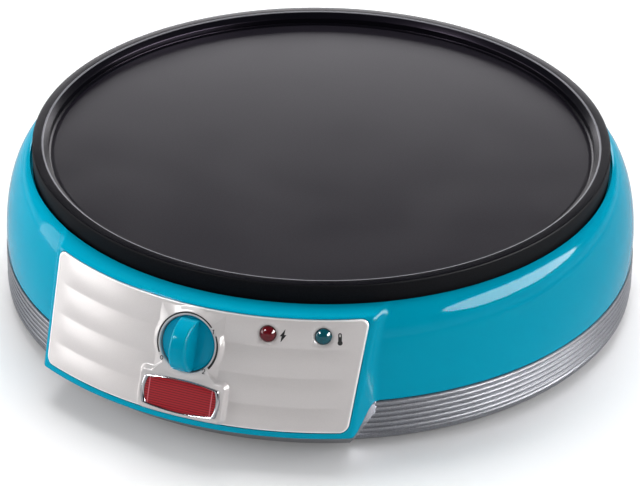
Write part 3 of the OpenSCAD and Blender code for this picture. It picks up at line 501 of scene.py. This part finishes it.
edge_round = 0.5
lamp_x = [slope_r(lamp_s) * math.sin(a) for a in lamp_turns]
lamp_hole, hub_hole = 4.32, 5.8
lamp_windows, lamp_window_s, knob_window = (5.7, 5.3), 5.5, 17.4
x_knots = [-85.1, -81.6, -76, -28, -knob_window, knob_window, 28,
           *[x + side * half for x, half in zip(lamp_x, lamp_windows) for side in (-1, 1)], 81.6, 85.1]
s_knots = [0.53, 1.5, 3.0, 4.2, 14.0, 37.0, 54.3, 57.47]
panel_x = lines(x_knots, [0.75, 1, 1.5, 0.5, 0.5, 0.5, 1, 0.8, 1, 0.8, 1, 0.75])
panel_s = lines(s_knots, [0.4, 0.55, 0.55, 0.6, 0.55, 0.55, 0.55])
panel_z = face_top_z - panel_s * lean_cos
flat_x, flat_z = np.meshgrid(panel_x, panel_z)
# The grid's square corners are pressed into quarter rounds: x sqrt(1 - y^2 / 2), y sqrt(1 - x^2 / 2)
round_r = panel_corner - edge_round
beyond_x = np.clip((np.abs(flat_x) - (panel_half - panel_corner)) / round_r, 0, 1)
middle_z = (face_top_z + panel_low) / 2
beyond_z = np.clip((np.abs(flat_z - middle_z) - (face_top_z - middle_z - panel_corner)) / round_r, 0, 1)
press_x, press_z = beyond_x * np.sqrt(1 - beyond_z ** 2 / 2), beyond_z * np.sqrt(1 - beyond_x ** 2 / 2)
flat_x = flat_x + np.sign(flat_x) * (press_x - beyond_x) * round_r
flat_z = flat_z + np.sign(flat_z - middle_z) * (press_z - beyond_z) * round_r
flat_x = flat_x * taper(flat_z)
front = panel_point(flat_x, flat_z, 0)
back_face = cone_point(flat_x, flat_z, panel_thick)
rows, cols = flat_x.shape
# Each hole's window lies between the grid lines nearest to its four sides.
holes = []
for x, s, half_x, half_s in [*[(x, lamp_s, half, lamp_window_s) for x, half in zip(lamp_x, lamp_windows)],
                             (0, knob_s, knob_window, knob_window)]:
    sides = (panel_s, s - half_s), (panel_s, s + half_s), (panel_x, x - half_x), (panel_x, x + half_x)
    holes.append([int(np.argmin(np.abs(values - side))) for values, side in sides])
size = rows * cols
points = [front.reshape(-1, 3), back_face.reshape(-1, 3)]
faces = [grid(rows, cols, 0, windows=holes), grid(rows, cols, size, windows=holes)]
count = 2 * size
flat = np.stack([flat_x, flat_z], -1).reshape(-1, 2)


def hole_loops(hole, turn, s, radii):
    """Rings (radius, drop from the face) round a hole's axis, each point in line with the window's point
    that it goes with; a ring (radius, 0, out) lies flat, square to the axis."""
    at = flat[window_rim(cols, *hole)]
    slope = (face_top_z - at[:, 1]) / lean_cos
    r = slope_r(slope)
    along, down = r * (np.arcsin(at[:, 0] / r) - turn), slope - s
    away = np.hypot(along, down)
    rings = []
    for radius, drop, *out in radii:
        if out:
            flat_ring = np.stack([along / away * radius, -down / away * radius, 0 * away + out[0]], -1)
            rings.append(on_face(flat_ring, turn, s))
            continue
        down_slope = s + down / away * radius
        a = turn + along / away * radius / slope_r(down_slope)
        out = -panel_thick if drop is None else panel_height(a, down_slope) - drop
        rings.append(face_point(a, down_slope, out))
    return rings


dimple = [*[(r, 0) for r in (5.3, 5.0, 4.8, 4.6, 4.45)], (lamp_hole + 0.04, 0.04), (lamp_hole, 0.15),
          (lamp_hole, None)]
cup_r, cup_floor, cup_under, cup_outer_r = 14.75, -2.6, -4.2, 16.35
hub = [(16.9, 0, 2.37), (16.6, 0, boss_out), (15.2, 0, boss_out), (14.9, 0, 2.33), (cup_r, 0, 2.1),
       (cup_r, 0, cup_floor), (hub_hole, 0, cup_floor), (hub_hole, 0, cup_under), (cup_outer_r, 0, cup_under),
       (cup_outer_r, 0, -2.4)]
for hole, turn, s, radii in zip(holes, [*lamp_turns, 0.0], (lamp_s, lamp_s, knob_s), (dimple, dimple, hub)):
    rim = window_rim(cols, *hole)
    made, quads = bands(rim, rim + size, hole_loops(hole, turn, s, radii), count)
    points.append(made)
    faces.append(quads)
    count += len(made)
rim = window_rim(cols, 0, rows - 1, 0, cols - 1)
edge = flat[rim]
loops = []
for turn in np.radians([18, 36, 54, 72, 90]):
    at = panel_edge(edge, edge_round * (math.sin(turn) - 1))
    loops.append(panel_point(at[:, 0], at[:, 1], edge_round * (math.cos(turn) - 1)))
at = panel_edge(edge, 0)
loops += [cone_point(at[:, 0], at[:, 1], 1.8), cone_point(*panel_edge(edge, -0.3).T, panel_thick)]
made, quads = bands(rim, rim + size, loops, count)
points.append(made)
faces.append(quads)
posts = []
for x, s, a, low, radius in ((24, knob_s, 0, -8, 3.4), (0, 44, math.radians(24), -6, 3)):
    for side in (-1, 1):
        post, quads = tube(side * x, 0, 1.25, radius, low, -1.6)
        posts.append((on_face(post, side * a, s), quads))

shape = join((np.vstack(points), np.vstack(faces)), *posts)
# Share of the painted edge highlight, from the distance to a rounded box: 1 on the panel's outline, 0 from 0.95
# mm inside it.
across = np.abs(shape[0][:, 0]) / taper(shape[0][:, 2]) - (panel_half - panel_corner)
upward = np.abs(shape[0][:, 2] - middle_z) - (face_top_z - middle_z - panel_corner)
beyond = np.hypot(np.maximum(across, 0), np.maximum(upward, 0))
inside = panel_corner - beyond - np.minimum(np.maximum(across, upward), 0)
# Pearl ABS under a polished skin: off-white pigment with a trace of mica, so it greys as it turns away. Along
# the moulding's edge the colour is painted towards white, a painted highlight where the rounded edge catches
# the light. Its flakes are drawn 0.25 mm across, coarser than real ones, so that they show.
pearl, shader, where = finish("pearl_white_abs", Roughness=0.33, IOR=1.5, Metallic=0.12, Coat_Weight=0.3,
                              Coat_Roughness=0.2)
mica = add(shader, "TexVoronoi", {"Vector": where, "Scale": 1 / 0.25})
turn_grey = add(shader, "MapRange", [mica, 0.1, 0.6])
pigment = add(shader, "Mix", {0: turn_grey, 6: linear("DCD7D6"), 7: linear("D4CFCE")}, data_type="RGBA")
# Painted highlight: the panel's edge, up to 0.95 mm in, is whitened towards pure white.
edge_highlight_share = add(shader, "Attribute", attribute_name="mark").outputs["Fac"]
colour(shader, edge_highlight_share, pigment, "FFFFFF")
relief(shader, grain(where, 14, 1), 0.02, 0.5)
make("panel", shape, pearl, ["control_panel"], crease=50, marks=1 - ease(inside, 0.35, 0.95))

# ---- Badge
# A chromed frame snapped into the lower boss, round a red insert with fine ribs along it. The frame
# is broad at its bowed ends and thin along its rails.
badge_half, end_bow, rail_bow = (20.1, 7.35), 1.5, 1.65


def badge_loop(grow_l, grow_w, out, corner=1.0):
    """The badge's outline, moved out by grow_l and grow_w: a box whose sides each bow out by 1 - u^2 times
    their bow, u going from -1 to 1 along them."""
    half_l, half_w = badge_half[0] + grow_l, badge_half[1] + grow_w
    up, along = np.linspace(-1, 1, 15)[:, None], np.linspace(1, -1, 33)[1:-1, None]
    end = np.hstack([half_l + end_bow * (1 - up ** 2), half_w * up])
    side = np.hstack([half_l * along, half_w + rail_bow * (1 - along ** 2)])
    corners = [(x, y, corner if abs(abs(y) - half_w) < 1e-6 else 0)
               for x, y in np.vstack([end, side, -end, -side])]
    at = rounded(corners, 6, closed=True)
    return np.column_stack([at, np.full(len(at), out)])


frame_low, insert_low, insert_top = 2.3, 2.35, 2.95
frame_rings = [(0, 0, frame_low), (0, 0, 2.9), (-0.12, -0.08, 3.25), (-0.45, -0.22, 3.5), (-0.95, -0.38, 3.6),
               (-1.5, -0.55, 3.5), (-1.9, -0.72, 3.25), (-2.05, -0.8, 2.95), (-2.05, -0.8, frame_low)]
rings = np.stack([badge_loop(*ring) for ring in frame_rings])
quads = grid(len(rings), rings.shape[1], close_rows=True, close_cols=True)
# Chromed ABS: nickel and chromium plated on the moulding, a mirror with the moulding's faint waviness.
chrome, shader, where = finish("decorative_chrome", Metallic=1.0, Roughness=0.07,
                               Base_Color=linear("B4B4B8"))
relief(shader, grain(where, 6, 1), 0.01, 0.4)
make("badge_ring", (on_face(rings, 0, badge_s).reshape(-1, 3), quads), chrome, ["badge_frame"])

shares = np.array([1, 0.985, 0.96, 0.9, 0.8, 0.6, 0.4, 0.2, 0])
edge = badge_loop(-2.1, -0.85, 0, 0.8)
# The insert's top is a low dome: at share k of its outline it stands 0.25 sqrt(1 - k^6) above its edge.
top = [edge * (k, k, 0) + (0, 0, insert_top + 0.25 * math.sqrt(1 - k ** 6)) for k in shares]
insert = np.stack([edge * 0 + (0, 0, insert_low), edge + (0, 0, insert_low), *top])
# Red lacquer over a ribbed foil, with a clear coat: fine lines run along the badge, and a paler line
# closes them off at each end.
line_pitch, border_x = 1.25, 17.1
lacquer, shader, where = finish("red_lacquer_clear_coat", Roughness=0.35, Coat_Weight=0.3,
                                Coat_Roughness=0.06, IOR=1.5, Specular_IOR_Level=0.2)
place = add(shader, "SeparateXYZ", [where]).outputs
phase = add(shader, "Math", [place["Z"], 2 * math.pi / (line_pitch * lean_cos)], operation="MULTIPLY")
wave = add(shader, "Math", [phase], operation="SINE")
line = add(shader, "MapRange", [wave, 0.35, 0.95])
ribbed = add(shader, "Mix", {0: line, 6: linear("A8101F"), 7: linear("5A060E")}, data_type="RGBA")
outward = add(shader, "Math", [place["X"]], operation="ABSOLUTE")
border = add(shader, "Math", [outward, border_x, 0.3], operation="COMPARE")
colour(shader, border, ribbed, "C8606C")
relief(shader, wave, 0.06, 0.7)
make("badge_plate", (on_face(insert, 0, badge_s).reshape(-1, 3), grid(len(insert), len(edge), close_cols=True)),
     lacquer, ["badge_insert"])

# ---- Lamp lenses
# Two clear tinted domes, moulded in polycarbonate, pushed in from behind up to a small flange.

lens_outline = rounded([(0, -4.4, 0), (4.5, -4.4, 0.2), (4.5, -2.8, 0.2), (4.1, -2.8, 0), (4.1, 0.15, 0.7),
                        (3.4, 0.95, 1.5), (2.3, 1.75, 2.5), (0.9, 2.2, 2), (0, 2.2, 0)], 4)
# Tinted polycarbonate: a glassy skin over a colour that deepens towards the dome's rim.
for name, turn, slot, deep, bright in (("power_lamp", lamp_turns[0], "lens_red", "25020A", "620E18"),
                                       ("ready_lamp", lamp_turns[1], "lens_green", "022028", "07505C")):
    tinted, shader, _ = finish(f"tinted_polycarbonate_{name}", Roughness=0.06, IOR=1.5)
    facing = add(shader, "LayerWeight", {"Blend": 0.35}).outputs["Facing"]
    colour(shader, add(shader, "MapRange", [facing, 0.15, 0.75]), bright, deep)
    points, quads = turned(lens_outline, 48)
    make(name, (on_face(points, turn, lamp_s), quads), tinted, [name + "_lens"])

# ---- Knob
# One moulding in the casing's turquoise: a disc that sits in its boss, a hub behind it that takes the
# spindle, and a fin across the disc, a half ellipse seen from its side, to turn it by.

knob_out, disc_r, hub_r, bore_r = -2.0, 14.3, 5.2, 3.05
fin_half, fin_tall, fin_half_wide, fin_middle, fin_circle = 13.7, 15.3, 4.75, -0.5, 14.25


def capped(rings):
    """Closes both ends of a run of rings: one more ring there, all its points at the last one's middle."""
    ends = rings[[0, -1]].mean(axis=1, keepdims=True) + 0 * rings[[0, -1]]
    return np.concatenate([ends[:1], rings, ends[1:]])


disc = turned(rounded([(0, -2.5, 0), (bore_r, -2.5, 0), (bore_r, -3, 0), (hub_r, -3, 0.3), (hub_r, 0, 0.3),
                       (disc_r, 0, 0.3), (disc_r, 3.25, 0.9), (0, 3.4, 0)], 7), 128)
# The fin's back is an ellipse along it and its section a superellipse, |x|^7.5 + |z|^7.5 = 1. Its half
# width blends its own with the disc's chord: 1 / w^6 = 1 / 4.75^6 + 1 / chord^6.
t = np.sin(np.linspace(-1, 1, 65) * math.pi / 2)[:, None]
along = fin_middle + fin_half * t
plan = ((fin_half_wide ** -6.0) + np.maximum(fin_circle ** 2 - along ** 2, 1e-4) ** -3.0) ** (-1 / 6)
fin_back = fin_tall * np.sqrt(np.maximum(1 - t ** 2, 0))
around = np.linspace(0, math.pi, 57)
power = 2 / 7.5
arch_x = np.sign(np.cos(around)) * np.abs(np.cos(around)) ** power
arch_z = np.abs(np.sin(around)) ** power
bar = np.stack([plan * arch_x, along + 0 * arch_x, 3.2 + (fin_back + 0.2) * arch_z], -1)
under = np.stack([plan * np.array([-1, 1.0]), along + np.zeros(2), np.full((len(t), 2), 2.8)], -1)
bar = capped(np.concatenate([bar, under], axis=1))
# The casing's ABS once more, its skin a little less polished; its colour is painted a shade darker, a painted
# shade.
knob_abs, shader, where = finish("moulded_gloss_abs_knob", Roughness=0.12, IOR=1.53,
                                 Specular_IOR_Level=0.08, Specular_Tint=linear("0AA5C4"),
                                 Coat_Weight=0.18, Coat_Roughness=0.04)
colour(shader, add(shader, "MapRange", [grain(where, 20, 2), 0.3, 0.7]), "0092B0", "0099B9")
relief(shader, grain(where, 9, 1), 0.02, 0.5)
points, quads = join(disc, (bar.reshape(-1, 3), grid(*bar.shape[:2], close_cols=True)))
make("knob_cap", (on_face(points, 0, knob_s, knob_out), quads), knob_abs, ["knob"], "knob",
     crease=50)

# ---- Dial print
# Pad-printed marks: a thin line and a growing wedge round the knob, its three settings, and a sign
# beside each lamp. The ink lies a few hundredths of a millimetre thick on the moulding.

ink_thick, mark_r = 0.06, 16.0
ink, shader, where = finish("pad_printed_ink", Roughness=0.45)
colour(shader, grain(where, 0.5, 2), "08080A", "101013")


def stroke(path, width, closed=False):
    """A flat ribbon along a path (x, y): its sides stand half a width to the left and right."""
    path = np.asarray(path, float)
    ahead = np.roll(path, -1, 0) - np.roll(path, 1, 0) if closed else np.gradient(path, axis=0)
    ahead = ahead / np.linalg.norm(ahead, axis=1, keepdims=True)
    side = np.stack([-ahead[:, 1], ahead[:, 0]], -1) * (np.broadcast_to(width, len(path)) / 2)[:, None]
    made = np.stack([np.column_stack([path + k * side, np.full(len(path), h)])
                     for k, h in ((-1, 0.0), (1, 0.0), (1, ink_thick), (-1, ink_thick))], 1)
    made = made if closed else capped(made)
    return made.reshape(-1, 3), grid(len(made), 4, close_rows=closed, close_cols=True)


def dial(degrees, radius):
    """A place on the dial, clockwise from the top."""
    a = np.radians(degrees)
    return np.stack([radius * np.sin(a), radius * np.cos(a)], -1)


def placed(shape, at):
    """Moves a flat shape to a place on the dial."""
    points, quads = shape
    return points + (*at, 0), quads


def oval(half_x, half_y, y, a):
    """Points (half_x cos a, y + half_y sin a) of an oval about (0, y)."""
    return np.column_stack([half_x * np.cos(a), y + half_y * np.sin(a)])


full_turn = np.arange(24) * math.pi / 12
zero = stroke(oval(0.72, 0.95, 0, full_turn), 0.4, closed=True)
one = join(stroke([(0, -1.2), (0, 0), (0, 1.2)], 0.42),
           stroke([(0.05, 1.15), (-0.25, 0.85), (-0.6, 0.65)], 0.36))
two = stroke(np.vstack([oval(0.72, 0.7, 0.5, np.radians(np.linspace(200, -35, 14))),
                        [(0.1, -0.55), (-0.72, -1.12), (-0.3, -1.14), (0.78, -1.14)]]), 0.38)
points, quads = join(placed(zero, dial(-127.7, 16.1)), placed(one, dial(55.3, mark_r)),
                     placed(two, dial(138.5, mark_r)), stroke(dial(np.linspace(-117, 47, 90), 16.1), 0.75),
                     stroke(dial(np.linspace(64, 128, 40), 16.3), np.linspace(0.7, 1.25, 40)))
make("dial_print", (on_face(points, 0, knob_s, boss_out - 0.01), quads), ink)


def wedge(rows):
    """A flat plate from rows (left, right, height): each row is closed across its thickness."""
    left, right, y = np.array(rows, float).T
    made = capped(np.stack([np.column_stack([x, y, np.full(len(y), h)])
                            for x, h in ((left, 0.0), (right, 0.0), (right, ink_thick), (left, ink_thick))], 1))
    return made.reshape(-1, 3), grid(len(made), 4, close_cols=True)


bolt = join(wedge([(0.95, 1.15, 3.3), (-0.15, 0.85, 1.6), (-1.65, 0.45, -0.35)]),
            wedge([(-0.35, 1.75, 0.45), (-0.85, 0.35, -1.5), (-1.1, -0.95, -3.3)]))
glass_r = 0.62
glass_cap = oval(glass_r, glass_r, 2.2, np.radians(np.linspace(0, 180, 12)))
glass = np.vstack([[(glass_r, -1.2), (glass_r, 0.5)], glass_cap, [(-glass_r, 0.5), (-glass_r, -1.2)]])
bulb = oval(glass_r, glass_r, -2.0, full_turn)
gauge = join(stroke(glass, 0.6), stroke(bulb, 1.3, closed=True), stroke([(0, -1.8), (0, -0.6), (0, 1.1)], 0.75))
for name, shape, turn, middle_s in (("power_sign", bolt, 16.0, 8.7), ("heat_sign", gauge, 25.6, 9.7)):
    points, quads = shape
    s = middle_s - points[:, 1]
    r = slope_r(s)
    a = math.radians(turn) + points[:, 0] / r
    make(name, (face_point(a, s, panel_height(a, s) + points[:, 2] - 0.01), quads), ink)

# ---- Base tray
# The lower half of the body, moulded in polypropylene and sprayed silver: horizontal ribs round its
# wall, a smooth chin under the console, and the screw wells and vents in its floor.


def dress(material, *nodes):
    """Gives CAD nodes that keep their own shape their real finish."""
    for name in nodes:
        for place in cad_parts[name].material_slots:
            place.material = material


# Sprayed silver paint: fine aluminium flake in a clear binder, so it lights up and dulls in specks. The
# flakes are drawn 0.4 mm across, coarser than real ones, so that they show.
silver, shader, where = finish("sprayed_silver_paint", Metallic=0.85, Roughness=0.3, IOR=1.48)
flake = add(shader, "TexVoronoi", {"Vector": where, "Scale": 1 / 0.4}).outputs["Color"]
colour(shader, add(shader, "SeparateColor", [flake]), "8D8E93", "A5A6AB")
relief(shader, grain(where, 3, 1), 0.004, 0.3)
dress(silver, "base_tray")

# ---- Feet and cord bush
# Four pads and the bush at the back, moulded in black EPDM rubber. The pads press into wells of the
# tray, and the bush snaps into its wall.

rubber, shader, where = finish("moulded_epdm_rubber", Roughness=0.75, IOR=1.52)
colour(shader, add(shader, "MapRange", [grain(where, 4, 4), 0.45, 0.7]), "17171A", "26262A")
relief(shader, grain(where, 0.5, 2), 0.03, 0.6)
dress(rubber, "rubber_feet", "cord_bush")

# ---- Heating element
# A tube of heat-resisting steel packed with magnesia, bent to a ring, with steatite beads and plain
# steel pins at its two cold ends. Heat has coloured the tube from straw to dull grey.

sheath, shader, where = finish("heat_tinted_resistance_steel", Metallic=1.0, Roughness=0.42)
colour(shader, add(shader, "MapRange", [grain(where, 14, 3), 0.35, 0.65]), "5B5650", "75685A")
relief(shader, grain(where, 0.6, 2), 0.01, 0.6)
dress(sheath, "heating_element")

# Unglazed steatite: a warm white with a faint, chalky mottle. The thermal fuse's body is the same.
steatite, shader, where = finish("unglazed_steatite", Roughness=0.6, IOR=1.58)
colour(shader, grain(where, 0.8, 3), "DAD4C6", "ECE8DE")
relief(shader, grain(where, 0.4, 2), 0.02, 0.6)
dress(steatite, "element_beads", "thermal_fuse")

# ---- Steel sheet parts
# The element's pins, the knob's leaf spring, the thermostat's bracket, and the clips of the bulb and
# the fuse, pressed from cold-rolled steel: grey, with rolling lines along the sheet, drawn coarser than
# real ones so that they show.

sheet_steel, shader, where = finish("cold_rolled_steel", Metallic=1.0)
rolled = grain(where, 1.2, 3, (0.06, 1, 1))
colour(shader, rolled, "A2A4A8", "BFC1C5")
put(add(shader, "MapRange", [rolled, 0.3, 0.7, 0.28, 0.42]), shader.inputs["Roughness"])
dress(sheet_steel, "element_pins", "knob_spring", "thermostat_bracket", "bulb_clip", "fuse_clip")

# ---- Heat reflector
# A dish pressed from thin aluminium, mill finish, that throws the element's heat up at the plate.
# It shows the mill's rolling lines in one direction, drawn coarser than real ones.

mill, shader, where = finish("mill_finish_aluminium", Metallic=1.0)
rolled = grain(where, 2.0, 3, (0.04, 1, 1))
colour(shader, rolled, "C4C5C7", "DADBDC")
put(add(shader, "MapRange", [rolled, 0.3, 0.7, 0.24, 0.38]), shader.inputs["Roughness"])
dress(mill, "heat_reflector")

# ---- Spacers and thermostat body
# Phenolic resin with wood flour in it, compression moulded: brown bushes under the reflector, and the
# thermostat's black body. The filler shows as paler specks, drawn coarser than real ones.

for name, dark, pale, node in (("brown_phenolic", "47291A", "5E3A26", "plate_spacers"),
                               ("black_phenolic", "18181A", "2B2A2B", "thermostat_body")):
    resin, shader, where = finish(name, Roughness=0.5, IOR=1.6)
    speck = add(shader, "MapRange", [grain(where, 0.7, 4), 0.5, 0.62])
    colour(shader, speck, dark, pale)
    relief(shader, grain(where, 0.5, 2), 0.02, 0.5)
    dress(resin, node)

# ---- Studs, washers, nuts and screws
# Plain steel fasteners with a thin zinc plating: bright grey that leans to yellow, clouded where the
# crystals differ. The crystals are drawn 1.25 mm across, coarser than real ones.

zinc, shader, where = finish("zinc_plated_steel", Metallic=1.0)
crystal = add(shader, "TexVoronoi", {"Vector": where, "Scale": 1 / 1.25})
colour(shader, crystal, "B7B4A8", "CFCDC6")
put(add(shader, "MapRange", [crystal, 0, 0.8, 0.24, 0.4]), shader.inputs["Roughness"])
dress(zinc, "plate_studs", "plate_washers", "plate_nuts", "base_screws", "panel_screws", "thermostat_screws",
      "bracket_screws", "bulb_clip_screw", "terminal_screw", "clamp_screws", "earth_screw")

# ---- Nylon parts
# Lamp holders, thermostat spindle, terminal block and cord clamp, moulded in natural polyamide: a
# milky, slightly waxy white that lets a little light in.

nylon, shader, where = finish("natural_polyamide", Roughness=0.42, IOR=1.53, Subsurface_Weight=0.15,
                              Subsurface_Scale=0.002)
colour(shader, grain(where, 5, 2), "DCD8CA", "E8E5DA")
relief(shader, grain(where, 1.2, 2), 0.02, 0.4)
dress(nylon, "lamp_holders", "thermostat_spindle", "terminal_block", "cord_clamp")

# ---- Brass and copper parts
# Stamped brass terminals and earth tab, and the thermostat's drawn copper tube and bulb, all bare and
# a little dulled by the air.

for name, dull, clean, nodes in (("stamped_brass", "B08A46", "CDAA64", ("thermostat_terminals", "earth_tab")),
                                 ("drawn_copper", "A2633F", "C98A62", ("capillary_tube", "sensing_bulb"))):
    metal, shader, where = finish(name, Metallic=1.0)
    film = add(shader, "MapRange", [grain(where, 3, 3), 0.35, 0.65])
    colour(shader, film, dull, clean)
    put(add(shader, "MapRange", [film, 0, 1, 0.42, 0.26]), shader.inputs["Roughness"])
    dress(metal, *nodes)

# ---- Wires
# Stranded leads in silicone insulation, soft and matt: brown live, blue neutral, white to the lamps,
# and green with a yellow stripe along its upper side for the earth.

for name, first, second, node in (("brown", "5A3320", "643A25", "live_wires"),
                                  ("blue", "23409A", "2A4AA8", "neutral_wire"),
                                  ("white", "DEDAD0", "E9E6DE", "lamp_wires"),
                                  ("green_and_yellow", "2E7A2C", "D8C22A", "earth_wire")):
    silicone, shader, where = finish("silicone_insulation_" + name, Roughness=0.55, IOR=1.43)
    share = grain(where, 3, 2)
    if node == "earth_wire":
        upward = add(shader, "SeparateXYZ", [add(shader, "NewGeometry").outputs["Normal"]]).outputs["Z"]
        share = add(shader, "MapRange", [upward, 0.28, 0.36])
    colour(shader, share, first, second)
    relief(shader, grain(where, 0.8, 2), 0.02, 0.4)
    dress(silicone, node)

# ---- Studio
# A pale table that runs out of sight, softboxes above, behind and at both sides with two glows that only
# gloss sees, and a long lens a metre above the table, turned to the right of the console.

floor_mesh = bpy.data.meshes.new("table_top")
half_table = 6.0
corners = [(x * half_table, y * half_table, 0) for x, y in ((-1, -1), (1, -1), (1, 1), (-1, 1))]
floor_mesh.from_pydata(corners, [], [(0, 1, 2, 3)])
table = in_scene("table_top", floor_mesh)


def seen_direct(path):
    """1 for the rays of the camera, of gloss and of clear matter, 0 for those that light the object."""
    rays = path.outputs
    seen = add(path, "Math", [rays["Is Camera Ray"], rays["Is Glossy Ray"]], operation="MAXIMUM")
    return add(path, "Math", [seen, rays["Is Transmission Ray"]], operation="MAXIMUM")


# White card: its own white where it is lit, lifted a little for the camera, and greyer in reflections, as
# if dark flags stood round it.
card, shader, _ = finish("white_card", Roughness=0.9, Specular_IOR_Level=0.2, Emission_Color=(1, 1, 1, 1))
path = add(shader, "LightPath")
colour(shader, path.outputs["Is Glossy Ray"], "EDEDEE", "A0A0A4")
put(add(shader, "MapRange", [seen_direct(path), 0, 1, 0, 0.09]), shader.inputs["Emission Strength"])
table.data.materials.append(card)

studio = bpy.data.worlds.new("studio")
bpy.context.scene.world = studio
studio.use_nodes = True
# The room: an even white light for the table and the casing, and in gloss a white horizon, where the
# table ends, under a dim ceiling.
room = studio.node_tree.nodes["Background"]
seen = seen_direct(add(room, "LightPath"))
upward = add(room, "SeparateXYZ", [add(room, "TexCoord").outputs["Generated"]]).outputs["Z"]
ceiling = add(room, "Math", [seen, add(room, "MapRange", [upward, 0.06, 0.22])], operation="MULTIPLY")
walls = add(room, "Mix", {0: ceiling, 6: (1, 1, 1, 1), 7: linear("404145")}, data_type="RGBA")
put(walls, room.inputs["Color"])
put(add(room, "MapRange", [seen, 0, 1, 0.4, 1]), room.inputs["Strength"])

# Each lamp: its place, its size, its power in watts, and whether it lights the object and shows in gloss.
lamps = [("overhead_softbox", (-0.28, 0.72, 1.6), (1.5, 1.0), 29, True, False),
         ("back_softbox", (-0.35, 0.95, 0.36), (1.2, 0.25), 4.6, False, True),
         ("back_fill", (-0.35, 1.1, 0.55), (1.0, 0.4), 1.6, True, False),
         ("right_softbox", (1.2, 0.05, 0.55), (1.5, 0.36), 5, True, False),
         ("right_glow", (1.15, 0.11, 0.56), (1.35, 0.5), 58, False, True),
         ("key_glow", (-0.85, -0.9, 1.3), (0.4, 0.4), 18, False, True),
         ("left_softbox", (-1.15, -0.45, 0.3), (1.0, 0.6), 8.5, True, True)]
aim_z = 0.06
for name, at, size, power, in_diffuse, in_gloss in lamps:
    lamp = bpy.data.lights.new(name, "AREA")
    lamp.shape = "ELLIPSE" if name == "right_glow" else "RECTANGLE"
    lamp.size, lamp.size_y = size
    lamp.energy = power
    stand = in_scene(name, lamp)
    aim = Vector(at) - Vector((0, plate_axis_y, aim_z))
    stand.matrix_world = Matrix.Translation(at) @ aim.to_track_quat("Z", "Y").to_matrix().to_4x4()
    stand.visible_camera, stand.visible_diffuse, stand.visible_glossy = False, in_diffuse, in_gloss

yaw, pitch, roll = math.radians(22), 0.53173, 0.014846
lens_away, lens_high, focal_pixels, sensor_mm = 1.654, 0.9947, 3512.2, 36.0
back = Matrix(((math.cos(yaw), -math.sin(yaw) * math.sin(pitch), math.sin(yaw) * math.cos(pitch)),
               (math.sin(yaw), math.cos(yaw) * math.sin(pitch), -math.cos(yaw) * math.cos(pitch)),
               (0, math.cos(pitch), math.sin(pitch))))
long_lens = bpy.data.cameras.new("camera")
long_lens.sensor_width, long_lens.lens, long_lens.clip_end = sensor_mm, focal_pixels * sensor_mm / 640, 20
camera = in_scene("camera", long_lens)
stands_at = (lens_away * math.sin(yaw), plate_axis_y - lens_away * math.cos(yaw), lens_high)
camera.matrix_world = Matrix.Translation(stands_at) @ (back @ Matrix.Rotation(roll, 3, "Z")).to_4x4()
bpy.context.scene.camera = camera
bpy.context.scene.view_settings.view_transform = "Standard"
